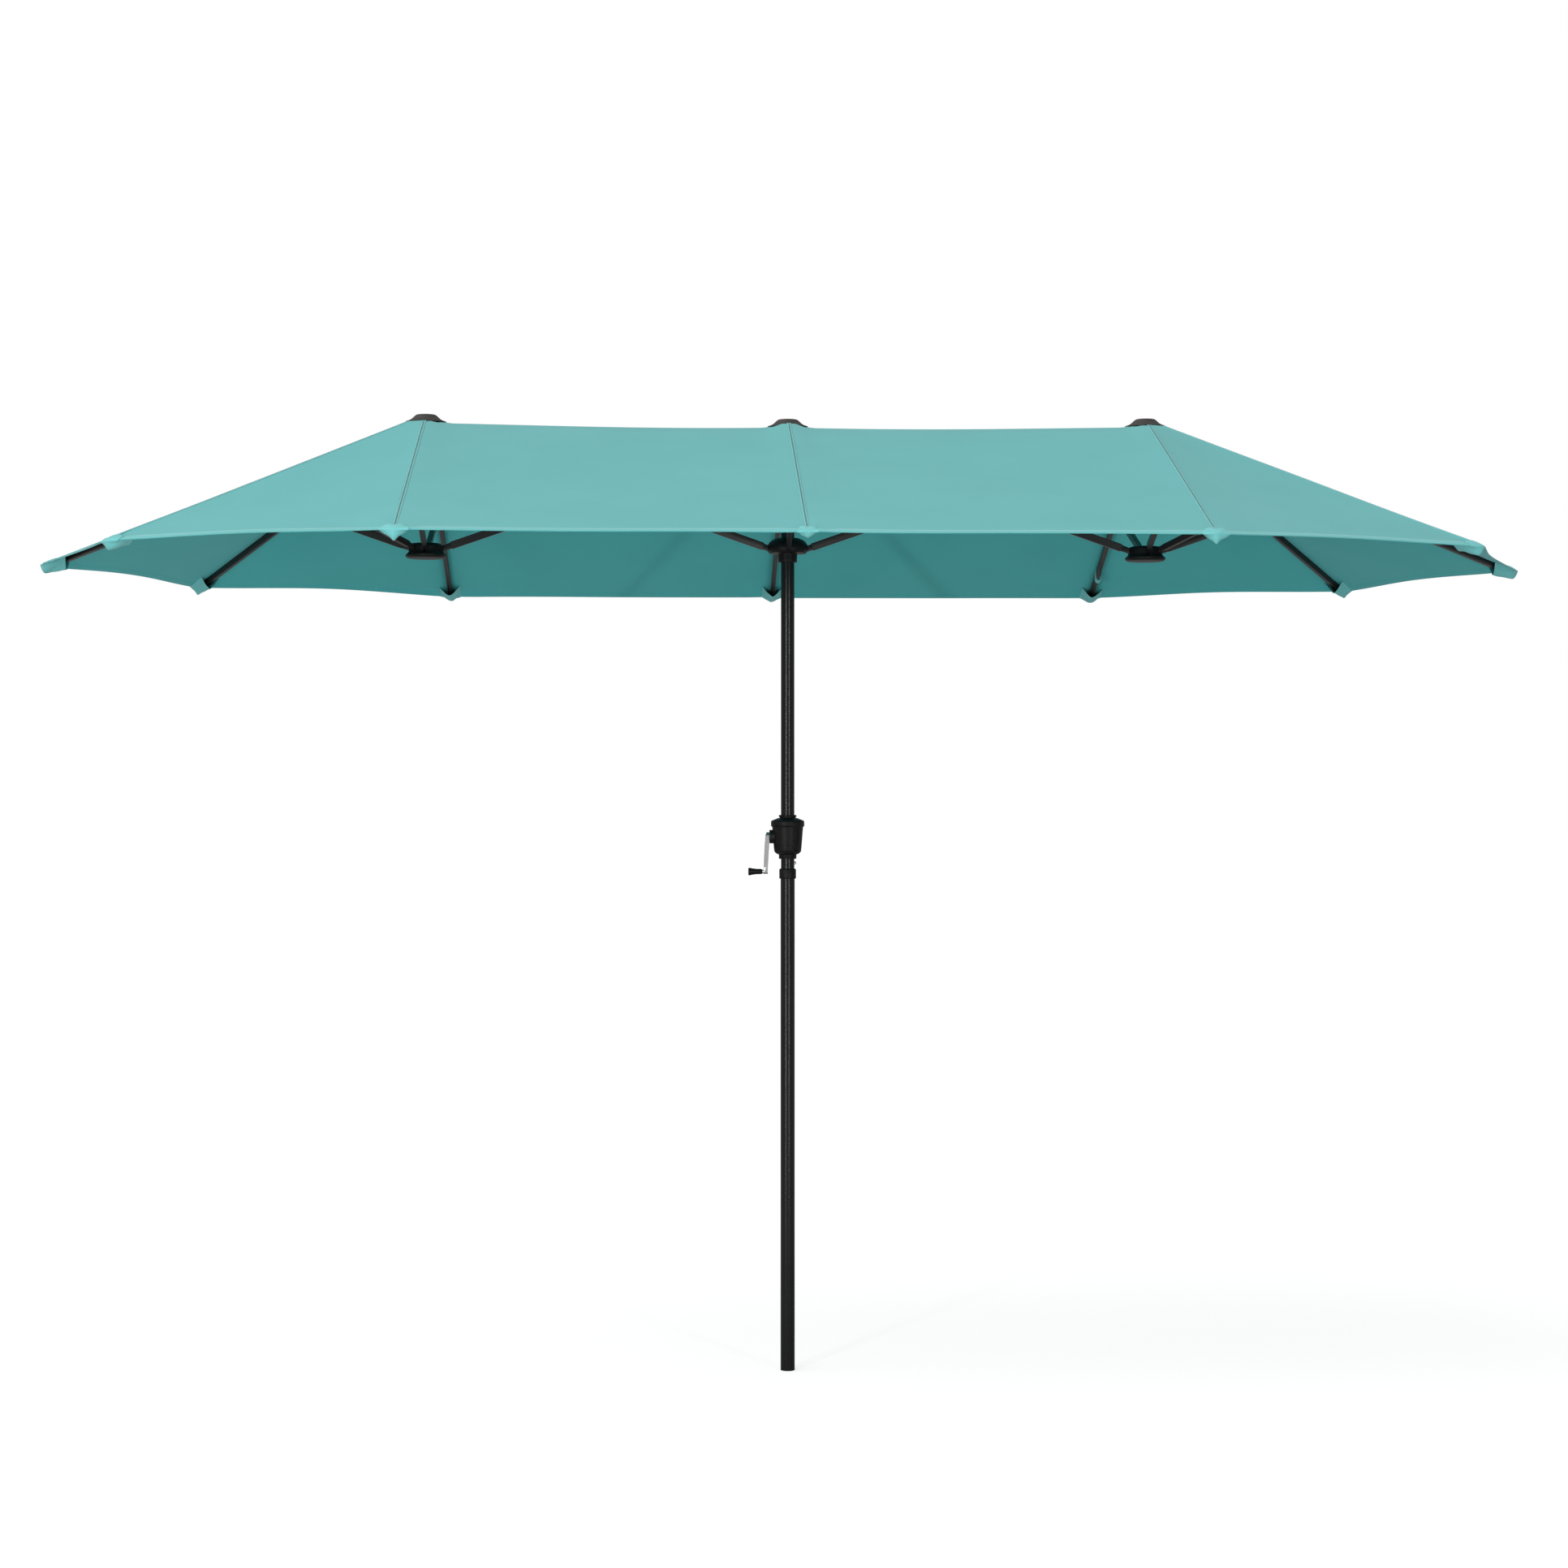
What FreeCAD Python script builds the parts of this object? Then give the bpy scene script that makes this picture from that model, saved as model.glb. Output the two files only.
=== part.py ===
import FreeCAD, Part
import os
from math import cos, radians, sin, tan

# A three-hub beach and market umbrella with a crank, in millimetres. +Z is up, +X runs along the
# long side of the canopy, and the origin is the centre of the pole's lower end.

# ---- driving dimensions ----
HUB_SPACING = 960.0          # centre hub to side hub
OPEN_ANGLE = 19.2            # slope of the arms, struts and rib pivot lines when open
PIVOT_RADIUS = 38.0          # every hub pivot from its hub's axis
TOP_PIVOT_Z = 2493.0
CANOPY_REACH = 1010.0        # canopy edge from its hub's axis, along a rib
POLE_LOWER_RADIUS = 19.0
POLE_UPPER_RADIUS = 18.0
POLE_WALL = 1.5
POLE_LOWER_TOP = 1310.0
CRANK_Z = 1422.0

# ---- scissor frame worked out from them ----
ARM_RUN = HUB_SPACING - 2 * PIVOT_RADIUS
ARM_LENGTH = ARM_RUN / cos(radians(OPEN_ANGLE))
HUB_DROP = ARM_RUN * tan(radians(OPEN_ANGLE))
LOW_PIVOT_Z = TOP_PIVOT_Z - HUB_DROP
STRUT_LENGTH = ARM_LENGTH / 2
JOINT_RADIUS = PIVOT_RADIUS + ARM_RUN / 2
JOINT_Z = TOP_PIVOT_Z - HUB_DROP / 2

# ---- bars and pivots ----
RIB_SLOPE = 21.8
RIB_WIDTH = 12.0
RIB_HEIGHT = 16.0
RIB_START_RADIUS = 64.0
RIB_END_RADIUS = 984.0
STRUT_WIDTH = 13.0
STRUT_HEIGHT = 16.0
ARM_WIDTH = 11.0
ARM_HEIGHT = 20.0
ARM_OFFSET = 7.0             # the two arms of a pair pass each other on this much either side
TUBE_WALL = 1.2
TONGUE = 5.0                 # thickness of a bar's flat end
TONGUE_NOSE = 7.0            # radius of its rounded nose
SLOT = 6.0                   # hub slot that takes a tongue
SLOT_DEPTH_RADIUS = 29.0
TONGUE_TO_TUBE = 26.0        # pivot to where the tube of a strut starts
ARM_TO_TUBE = 30.0
PIN_RADIUS = 2.5
PIN_HALF = 9.0
CROSS_PIN_RADIUS = 4.0
RUNNING_FIT = 0.05
GAP = 0.5                    # between faces that slide past each other
FORK_BACK = 48.0             # strut's fork, from its pin to the end of the tube
FORK_PLATE = 2.0

# ---- hubs and caps ----
TOP_HUB_RADIUS = 50.0
HUB_FLANGE_RADIUS = 54.0
HUB_BELOW_PIVOT = 12.0
CENTRE_HUB_TOP = 2510.0
SIDE_HUB_TOP = 2517.0
CAP_GAP = 1.5                # room for the canopy between hub and cap
FABRIC = 0.8
FABRIC_LIFT = 1.6            # canopy above the middle of a rib's top
FABRIC_INNER_RADIUS = 62.0

RIBS = {
    "left": {"front": 270, "front_corner": 225, "end": 180, "back_corner": 135, "back": 90},
    "centre": {"front": 270, "back": 90},
    "right": {"front": 270, "front_corner": 315, "end": 0, "back_corner": 45, "back": 90},
}
HUB_X = {"left": -HUB_SPACING, "centre": 0.0, "right": HUB_SPACING}
UP = FreeCAD.Vector(0, 0, 1)
ALONG_Y = FreeCAD.Vector(0, 1, 0)
ALONG_X = FreeCAD.Vector(1, 0, 0)

os.makedirs("parts", exist_ok=True)


def at(x, y, z):
    return FreeCAD.Vector(x, y, z)


def save(name, shape):
    shape.exportStep("parts/" + name + ".step")


def union(shapes):
    made = shapes[0].multiFuse(shapes[1:]) if len(shapes) > 1 else shapes[0]
    return made.removeSplitter()


def cylinder(radius, start, end):
    line = end - start
    return Part.makeCylinder(radius, line.Length, start, line)


def turned(profile, x=0.0, y=0.0):
    """A solid turned about the vertical axis from (radius, height) points."""
    points = [at(r, 0, z) for r, z in profile]
    face = Part.Face(Part.makePolygon(points + points[:1]))
    solid = face.revolve(at(0, 0, 0), UP, 360)
    solid.translate(at(x, y, 0))
    return solid


def flat_bar(points, thickness, y=0.0):
    """A plate cut from points in the X-Z plane, centred on y."""
    corners = [at(px, y - thickness / 2, pz) for px, pz in points]
    face = Part.Face(Part.makePolygon(corners + corners[:1]))
    return face.extrude(at(0, thickness, 0))


def tube(start, slope, length, width, height, y=0.0):
    """A rectangular tube that leaves start, an (x, z) point, slope degrees below level."""
    outer = Part.makeBox(length, width, height, at(0, -width / 2, -height / 2))
    inner = Part.makeBox(
        length, width - 2 * TUBE_WALL, height - 2 * TUBE_WALL,
        at(0, TUBE_WALL - width / 2, TUBE_WALL - height / 2),
    )
    made = outer.cut(inner)
    made.rotate(at(0, 0, 0), ALONG_Y, slope)
    made.translate(at(start[0], y, start[1]))
    return made


def point_along(start, slope, along, across=0.0):
    """The (x, z) point that is along and across a line slope degrees below level."""
    c = cos(radians(slope))
    s = sin(radians(slope))
    return start[0] + along * c + across * s, start[1] - along * s + across * c


def tongue(pivot, slope, reach, half_height, y=0.0):
    """The flat end of a strut or arm: a rounded nose on its pivot, running into the tube."""
    corners = [
        point_along(pivot, slope, 0, TONGUE_NOSE),
        point_along(pivot, slope, reach, half_height),
        point_along(pivot, slope, reach, -half_height),
        point_along(pivot, slope, 0, -TONGUE_NOSE),
    ]
    nose = cylinder(
        TONGUE_NOSE,
        at(pivot[0], y - TONGUE / 2, pivot[1]),
        at(pivot[0], y + TONGUE / 2, pivot[1]),
    )
    return [flat_bar(corners, TONGUE, y), nose]


def cross_pin(pivot, radius, low_y, high_y):
    return cylinder(radius, at(pivot[0], low_y, pivot[1]), at(pivot[0], high_y, pivot[1]))


def placed(shape, azimuth, x):
    """A piece made along +X from its hub's axis, turned to its rib's direction and hub."""
    made = shape.copy()
    made.rotate(at(0, 0, 0), UP, azimuth)
    made.translate(at(x, 0, 0))
    return made


# ---- ribs: a tube, a flat end with its hub pin, the strut's rivet, and a plastic tip ----
def rib_axis_z(radius):
    return JOINT_Z - (radius - JOINT_RADIUS) * tan(radians(RIB_SLOPE))


def rib():
    start = (RIB_START_RADIUS, rib_axis_z(RIB_START_RADIUS))
    length = (RIB_END_RADIUS - RIB_START_RADIUS) / cos(radians(RIB_SLOPE))
    inside = RIB_HEIGHT / 2 - TUBE_WALL
    pivot = (PIVOT_RADIUS, TOP_PIVOT_Z)
    insert = 18.0
    plate = flat_bar(
        [
            (pivot[0] - 2.8, pivot[1] + 5.9),
            point_along(start, RIB_SLOPE, 0, inside),
            point_along(start, RIB_SLOPE, insert, inside),
            point_along(start, RIB_SLOPE, insert, -inside),
            point_along(start, RIB_SLOPE, 0, -inside),
            (pivot[0] + 2.8, pivot[1] - 5.9),
        ],
        TONGUE,
    )
    nose = cross_pin(pivot, TONGUE_NOSE, -TONGUE / 2, TONGUE / 2)
    hub_pin = cross_pin(pivot, PIN_RADIUS, -PIN_HALF, PIN_HALF)
    joint = (JOINT_RADIUS, JOINT_Z)
    head_from = STRUT_WIDTH / 2 + FORK_PLATE + GAP
    rivet = cross_pin(joint, PIN_RADIUS, -head_from, head_from)
    heads = [
        cross_pin(joint, 2 * PIN_RADIUS, head_from, head_from + 1.5),
        cross_pin(joint, 2 * PIN_RADIUS, -head_from - 1.5, -head_from),
    ]
    bar = tube(start, RIB_SLOPE, length, RIB_WIDTH, RIB_HEIGHT)
    metal = union([bar, plate, nose, hub_pin, rivet] + heads)
    end = point_along(start, RIB_SLOPE, length)
    plug = Part.makeBox(4.0, RIB_WIDTH, RIB_HEIGHT, at(0, -RIB_WIDTH / 2, -RIB_HEIGHT / 2))
    plug = plug.makeFillet(1.5, [e for e in plug.Edges if e.CenterOfMass.x > 3.9])
    stem_width = RIB_WIDTH - 2 * TUBE_WALL
    stem_height = RIB_HEIGHT - 2 * TUBE_WALL
    stem = Part.makeBox(15.0, stem_width, stem_height, at(-15, -stem_width / 2, -stem_height / 2))
    tip = union([plug, stem])
    tip.rotate(at(0, 0, 0), ALONG_Y, RIB_SLOPE)
    tip.translate(at(end[0], 0, end[1]))
    return Part.makeCompound([metal, tip])


# ---- struts: a tube with a flat end in the lower hub and a fork over the rib ----
def strut():
    pivot = (PIVOT_RADIUS, LOW_PIVOT_Z)
    slope = -OPEN_ANGLE
    start = point_along(pivot, slope, TONGUE_TO_TUBE)
    tube_length = STRUT_LENGTH - FORK_BACK - TONGUE_TO_TUBE
    inside = STRUT_HEIGHT / 2 - TUBE_WALL
    pieces = [tube(start, slope, tube_length, STRUT_WIDTH, STRUT_HEIGHT)]
    pieces += tongue(pivot, slope, TONGUE_TO_TUBE + 18, inside)
    pieces.append(cross_pin(pivot, PIN_RADIUS, -PIN_HALF, PIN_HALF))
    joint = (JOINT_RADIUS, JOINT_Z)
    plate_y = STRUT_WIDTH / 2 + FORK_PLATE / 2
    holes = cross_pin(joint, PIN_RADIUS + RUNNING_FIT, -plate_y - 3, plate_y + 3)
    for y in (plate_y, -plate_y):
        corners = [
            point_along(joint, slope, -FORK_BACK - 30, 7.0),
            point_along(joint, slope, 0, TONGUE_NOSE),
            point_along(joint, slope, 0, -TONGUE_NOSE),
            point_along(joint, slope, -FORK_BACK - 30, -7.0),
        ]
        pieces.append(flat_bar(corners, FORK_PLATE, y))
        pieces.append(cross_pin(joint, TONGUE_NOSE, y - FORK_PLATE / 2, y + FORK_PLATE / 2))
    return union(pieces).cut(holes)


rib_shape = rib()
strut_shape = strut()
for side, directions in RIBS.items():
    for name, azimuth in directions.items():
        save(side + "_" + name + "_rib", placed(rib_shape, azimuth, HUB_X[side]))
        save(side + "_" + name + "_strut", placed(strut_shape, azimuth, HUB_X[side]))


# ---- scissor arms, drawn for the left side and turned half a turn for the right ----
def arm(start, slope, y):
    pieces = [
        tube(
            point_along(start, slope, ARM_TO_TUBE), slope, ARM_LENGTH - 2 * ARM_TO_TUBE,
            ARM_WIDTH, ARM_HEIGHT, y,
        )
    ]
    end = point_along(start, slope, ARM_LENGTH)
    inside = ARM_HEIGHT / 2 - TUBE_WALL
    pieces += tongue(start, slope, ARM_TO_TUBE + 20, inside, y)
    pieces += tongue(end, slope + 180, ARM_TO_TUBE + 20, inside, y)
    for pivot in (start, end):
        pieces.append(cross_pin(pivot, PIN_RADIUS, y - PIN_HALF, y + PIN_HALF))
    return union(pieces)


side_pivot_x = -HUB_SPACING + PIVOT_RADIUS
cross_point = (-JOINT_RADIUS, JOINT_Z)
pin_hole = cross_pin(cross_point, CROSS_PIN_RADIUS + RUNNING_FIT, -30, 30)
arm_down = arm((side_pivot_x, LOW_PIVOT_Z), -OPEN_ANGLE, ARM_OFFSET).cut(pin_hole)
inner_face = ARM_OFFSET - ARM_WIDTH / 2
outer_face = ARM_OFFSET + ARM_WIDTH / 2
arm_up = union(
    [
        arm((side_pivot_x, TOP_PIVOT_Z), OPEN_ANGLE, -ARM_OFFSET),
        cross_pin(cross_point, CROSS_PIN_RADIUS, -outer_face - 1, outer_face + GAP + 2),
        cross_pin(cross_point, 8.0, -inner_face, inner_face - GAP),
        cross_pin(cross_point, 7.0, outer_face + GAP, outer_face + GAP + 2),
        cross_pin(cross_point, 7.0, -outer_face - 2, -outer_face),
    ]
)
for side, turn in (("left", 0), ("right", 180)):
    save(side + "_arm_down", placed(arm_down, turn, 0))
    save(side + "_arm_up", placed(arm_up, turn, 0))


# ---- hubs: moulded discs with a slot and a pin hole for every bar ----
def bar_seats(z, bars, slot_low, slot_high, wide_from=None):
    """The slots and pin holes that bars, as (azimuth, sideways offset, width), cut in a hub."""
    cuts = []
    for azimuth, offset, width in bars:
        reach = HUB_FLANGE_RADIUS + 6 - SLOT_DEPTH_RADIUS
        slot = Part.makeBox(
            reach, SLOT, slot_high - slot_low, at(SLOT_DEPTH_RADIUS, offset - SLOT / 2, slot_low)
        )
        length = PIN_HALF + 1
        hole = cross_pin((PIVOT_RADIUS, z), PIN_RADIUS + RUNNING_FIT, offset - length, offset + length)
        made = [slot, hole]
        if wide_from is not None:
            room = width + 4 * GAP
            corner = at(SLOT_DEPTH_RADIUS + 1, offset - room / 2, wide_from)
            made.append(Part.makeBox(reach, room, slot_high - wide_from, corner))
        for shape in made:
            shape.rotate(at(0, 0, 0), UP, azimuth)
        cuts += made
    return cuts


def top_hub(top, bars):
    low = TOP_PIVOT_Z - HUB_BELOW_PIVOT
    body = turned(
        [(0, low), (TOP_HUB_RADIUS - 3, low), (TOP_HUB_RADIUS, low + 3), (TOP_HUB_RADIUS, top - 4),
         (TOP_HUB_RADIUS - 4, top), (0, top)]
    )
    return body.cut(bar_seats(TOP_PIVOT_Z, bars, low - 10, top - 2.6))


def rib_bars(side, width):
    return [(azimuth, 0.0, width) for azimuth in RIBS[side].values()]


# a bar's sideways offset is measured anticlockwise from its own direction
side_up_bar = {"left": (0, -ARM_OFFSET, ARM_WIDTH), "right": (180, -ARM_OFFSET, ARM_WIDTH)}
side_down_bar = {"left": (0, ARM_OFFSET, ARM_WIDTH), "right": (180, ARM_OFFSET, ARM_WIDTH)}
centre_down_bars = [(180, -ARM_OFFSET, ARM_WIDTH), (0, -ARM_OFFSET, ARM_WIDTH)]
centre_up_bars = [(180, ARM_OFFSET, ARM_WIDTH), (0, ARM_OFFSET, ARM_WIDTH)]

CAP_STEM_RADIUS = 6.0
CAP_STEM_LENGTH = 6.0


def cap(base, x):
    """A turned plastic finial: a thin flange, a hollow-curved bevel and a flat top, on a stem."""
    return turned(
        [(0, base - CAP_STEM_LENGTH), (CAP_STEM_RADIUS, base - CAP_STEM_LENGTH), (CAP_STEM_RADIUS, base),
         (HUB_FLANGE_RADIUS, base), (HUB_FLANGE_RADIUS, base + 3.5), (46, base + 6), (38, base + 11),
         (30, base + 18.5), (26, base + 21.5), (0, base + 22.5)],
        x,
    )


for side in ("left", "right"):
    stem_hole = cylinder(
        CAP_STEM_RADIUS,
        at(0, 0, SIDE_HUB_TOP + CAP_GAP - CAP_STEM_LENGTH),
        at(0, 0, SIDE_HUB_TOP + 1),
    )
    hub = top_hub(SIDE_HUB_TOP, rib_bars(side, RIB_WIDTH) + [side_up_bar[side]]).cut(stem_hole)
    hub.translate(at(HUB_X[side], 0, 0))
    save(side + "_top_hub", hub)
    save(side + "_cap", cap(SIDE_HUB_TOP + CAP_GAP, HUB_X[side]))

    low = LOW_PIVOT_Z - 25
    high = LOW_PIVOT_Z + 14
    body = turned(
        [(0, low), (47, low), (52, low + 2), (HUB_FLANGE_RADIUS, low + 5), (HUB_FLANGE_RADIUS, low + 9),
         (49, low + 13), (46, low + 17), (45, high - 6), (42, high - 2), (36, high), (0, high)]
    )
    seats = bar_seats(LOW_PIVOT_Z, rib_bars(side, STRUT_WIDTH) + [side_down_bar[side]],
                      LOW_PIVOT_Z - 10, high + 5)
    hub = body.cut(seats)
    hub.translate(at(HUB_X[side], 0, 0))
    save(side + "_low_hub", hub)

# ---- runner: slides on the upper pole; its upper slots are wide enough for the folded bars ----
RUNNER_CLEARANCE = 0.5
RUNNER_LOW = LOW_PIVOT_Z - 32
low = LOW_PIVOT_Z - 8
bore = POLE_UPPER_RADIUS + RUNNER_CLEARANCE
runner = turned(
    [(bore, RUNNER_LOW), (24, RUNNER_LOW), (25, RUNNER_LOW + 2), (25.5, low - 2), (30, low), (49, low),
     (54, low + 6), (54.5, low + 14), (53, low + 22), (48, low + 30), (40, low + 36), (30, low + 40),
     (bore, low + 41)]
)
runner = runner.cut(
    bar_seats(LOW_PIVOT_Z, rib_bars("centre", STRUT_WIDTH) + centre_up_bars, low - 5, low + 45,
              LOW_PIVOT_Z + 14)
)
save("runner", runner)

# ---- centre hub, the pole's top fitting, with the cord pulley let into it ----
PULLEY_RADIUS = 11.0
PULLEY_HALF = 3.0
PULLEY_Y = 12.0
PULLEY_Z = 2487.0
AXLE_RADIUS = 2.0
AXLE_HALF = 17.0
POLE_TOP = 2500.0
pulley_room = Part.makeBox(
    2 * (PULLEY_HALF + GAP), 24.5, 2 * PULLEY_RADIUS + 4,
    at(-PULLEY_HALF - GAP, -0.5, PULLEY_Z - PULLEY_RADIUS - 2),
)
axle_hole = cylinder(
    AXLE_RADIUS + RUNNING_FIT, at(-AXLE_HALF - 1, PULLEY_Y, PULLEY_Z), at(AXLE_HALF + 1, PULLEY_Y, PULLEY_Z)
)
centre_hub = top_hub(CENTRE_HUB_TOP, rib_bars("centre", RIB_WIDTH) + centre_down_bars)
pole_socket = cylinder(
    POLE_UPPER_RADIUS, at(0, 0, TOP_PIVOT_Z - HUB_BELOW_PIVOT - 1), at(0, 0, POLE_TOP)
)
stem_hole = cylinder(
    CAP_STEM_RADIUS, at(0, 0, CENTRE_HUB_TOP + CAP_GAP - CAP_STEM_LENGTH), at(0, 0, CENTRE_HUB_TOP + 1)
)
save("centre_top_hub", centre_hub.cut([pole_socket, pulley_room, axle_hole, stem_hole]))
save("centre_cap", cap(CENTRE_HUB_TOP + CAP_GAP, 0.0))

groove = PULLEY_RADIUS - 2.5
wheel = Part.Face(
    Part.makePolygon(
        [at(-PULLEY_HALF, 0, 0), at(-PULLEY_HALF, PULLEY_RADIUS, 0), at(-2.2, PULLEY_RADIUS, 0),
         at(-0.8, groove, 0), at(0.8, groove, 0), at(2.2, PULLEY_RADIUS, 0),
         at(PULLEY_HALF, PULLEY_RADIUS, 0), at(PULLEY_HALF, 0, 0), at(-PULLEY_HALF, 0, 0)]
    )
).revolve(at(0, 0, 0), ALONG_X, 360)
wheel.translate(at(0, PULLEY_Y, PULLEY_Z))
axle = cylinder(AXLE_RADIUS, at(-AXLE_HALF, PULLEY_Y, PULLEY_Z), at(AXLE_HALF, PULLEY_Y, PULLEY_Z))
save("cord_pulley", union([wheel, axle]))

# ---- pole: a lower tube, a collar, and an upper tube with a narrowed end that plugs into it ----
SPIGOT_BOTTOM = 1190.0
SPIGOT_RADIUS = POLE_LOWER_RADIUS - POLE_WALL
COLLAR_LOW = POLE_LOWER_TOP
COLLAR_HIGH = 1337.0
COLLAR_RADIUS = 22.5
SHAFT_RADIUS = 4.0
SHAFT_END_X = 19.5
SHAFT_HOLE_FROM_X = -60.0
BUTTON_RADIUS = 4.0
BUTTON_Z = 1352.0
lower_inner = POLE_LOWER_RADIUS - POLE_WALL
upper_inner = POLE_UPPER_RADIUS - POLE_WALL
lower_pole = turned(
    [(lower_inner, 0), (POLE_LOWER_RADIUS, 0), (POLE_LOWER_RADIUS, POLE_LOWER_TOP),
     (lower_inner, POLE_LOWER_TOP)]
)
save("lower_pole", lower_pole)
save(
    "pole_collar",
    turned(
        [(SPIGOT_RADIUS, COLLAR_LOW), (COLLAR_RADIUS - 1, COLLAR_LOW), (COLLAR_RADIUS, COLLAR_LOW + 1),
         (COLLAR_RADIUS, COLLAR_HIGH - 3), (COLLAR_RADIUS - 2, COLLAR_HIGH), (POLE_UPPER_RADIUS, COLLAR_HIGH),
         (POLE_UPPER_RADIUS, POLE_LOWER_TOP + 6)]
    ),
)
upper_pole = turned(
    [(SPIGOT_RADIUS - POLE_WALL, SPIGOT_BOTTOM), (SPIGOT_RADIUS, SPIGOT_BOTTOM),
     (SPIGOT_RADIUS, POLE_LOWER_TOP), (POLE_UPPER_RADIUS, POLE_LOWER_TOP + 6), (POLE_UPPER_RADIUS, POLE_TOP), (upper_inner, POLE_TOP),
     (upper_inner, POLE_LOWER_TOP + 6), (SPIGOT_RADIUS - POLE_WALL, POLE_LOWER_TOP)]
)
shaft_hole = cylinder(
    SHAFT_RADIUS + RUNNING_FIT, at(SHAFT_HOLE_FROM_X, 0, CRANK_Z), at(SHAFT_END_X + GAP, 0, CRANK_Z)
)
button_hole = cylinder(BUTTON_RADIUS + RUNNING_FIT, at(0, 0, BUTTON_Z), at(40, 0, BUTTON_Z))
save("upper_pole", upper_pole.cut([shaft_hole, button_hole, pulley_room, axle_hole]))

# ---- snap button: a domed pin on the +X side of the upper pole ----
BUTTON_OUT = 23.0
SHOULDER_BACK = 13.0
SHOULDER_FRONT = 15.0
shank = cylinder(BUTTON_RADIUS, at(SHOULDER_FRONT, 0, BUTTON_Z), at(BUTTON_OUT - 2, 0, BUTTON_Z))
dome = Part.makeCone(
    BUTTON_RADIUS, BUTTON_RADIUS - 1.8, 2.0, at(BUTTON_OUT - 2, 0, BUTTON_Z), ALONG_X
)
shoulder = cylinder(BUTTON_RADIUS + 1.5, at(SHOULDER_BACK, 0, BUTTON_Z), at(SHOULDER_FRONT, 0, BUTTON_Z))
save("snap_button", union([shoulder, shank, dome]))

# ---- button spring: a bent steel strip, one leg behind the button and one on the far wall ----
SPRING_WIDTH = 7.0
SPRING_THICK = 0.8
spring_front = SHOULDER_BACK - 0.3
spring_outside = [
    (spring_front, BUTTON_Z + 9), (spring_front, BUTTON_Z - 22), (spring_front - 8, BUTTON_Z - 30),
    (-7.0, BUTTON_Z - 30), (-15.6, BUTTON_Z - 22), (-15.6, BUTTON_Z + 9),
]
spring_inside = [
    (-15.6 + SPRING_THICK, BUTTON_Z + 9), (-15.6 + SPRING_THICK, BUTTON_Z - 21.6),
    (-6.7, BUTTON_Z - 30 + SPRING_THICK), (spring_front - 8.3, BUTTON_Z - 30 + SPRING_THICK),
    (spring_front - SPRING_THICK, BUTTON_Z - 21.6), (spring_front - SPRING_THICK, BUTTON_Z + 9),
]
save("button_spring", flat_bar(spring_outside + spring_inside, SPRING_WIDTH))

# ---- crank housing: two moulded shells screwed together around the pole ----
HOUSING_TOP = 1480.0
HOUSING_LOW = 1363.0
SHELL = 3.0
BOSS_RADIUS = 18.0
BOSS_FACE = -48.5
outer = [
    (POLE_UPPER_RADIUS, HOUSING_LOW), (23.0, HOUSING_LOW), (23.5, HOUSING_LOW + 1), (23.5, HOUSING_LOW + 11),
    (31.0, HOUSING_LOW + 14), (36.0, HOUSING_LOW + 20), (37.5, HOUSING_LOW + 36), (41.0, HOUSING_TOP - 36),
    (41.5, HOUSING_TOP - 32), (44.5, HOUSING_TOP - 30), (44.5, HOUSING_TOP - 18), (42.5, HOUSING_TOP - 15),
    (25.0, HOUSING_TOP - 8), (21.5, HOUSING_TOP - 8), (21.5, HOUSING_TOP - 6), (23.5, HOUSING_TOP - 5),
    (23.5, HOUSING_TOP - 1), (22.5, HOUSING_TOP), (POLE_UPPER_RADIUS, HOUSING_TOP),
]
inner = [
    (POLE_UPPER_RADIUS - 1, HOUSING_LOW + 18), (31.5, HOUSING_LOW + 18), (34.5, HOUSING_LOW + 36),
    (38.0, HOUSING_TOP - 36), (40.5, HOUSING_TOP - 28), (40.5, HOUSING_TOP - 19),
    (POLE_UPPER_RADIUS - 1, HOUSING_TOP - 19),
]
boss = cylinder(BOSS_RADIUS, at(BOSS_FACE, 0, CRANK_Z), at(-20, 0, CRANK_Z))
boss_seat = boss.cut(Part.makeCylinder(19.0, 200, at(0, 0, CRANK_Z - 100)))
shell = turned(outer).cut(turned(inner)).fuse(boss_seat)
posts = [at(x, 0, z) for x in (-29.0, 29.0) for z in (1392.0, 1450.0)]
post_solids = [
    Part.makeCylinder(5.0, 50, p + at(0, -25, 0), ALONG_Y).common(turned(outer)) for p in posts
]
shell = union([shell] + post_solids).cut(shaft_hole)

# The front shell's moulded lines and the oval ring beside them are grooves cut into its skin.
GROOVE_DEPTH = 1.0
GROOVE_HALF = 0.6
OVAL_X = 20.5
OVAL_LOW = CRANK_Z - 10.5
OVAL_HIGH = CRANK_Z + 14.5
OVAL_RADIUS = 5.8


def groove_strip(points):
    """A strip in the X-Z plane that follows points, deep enough to cut the whole front half."""
    low = [(x, z - GROOVE_HALF) for x, z in points]
    high = [(x, z + GROOVE_HALF) for x, z in reversed(points)]
    return flat_bar(low + high, 60.0, -30.0)


def oval_block(radius):
    ends = [cylinder(radius, at(OVAL_X, -60, z), at(OVAL_X, 0, z)) for z in (OVAL_LOW, OVAL_HIGH)]
    middle = Part.makeBox(2 * radius, 60, OVAL_HIGH - OVAL_LOW, at(OVAL_X - radius, -60, OVAL_LOW))
    return union(ends + [middle])


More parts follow.
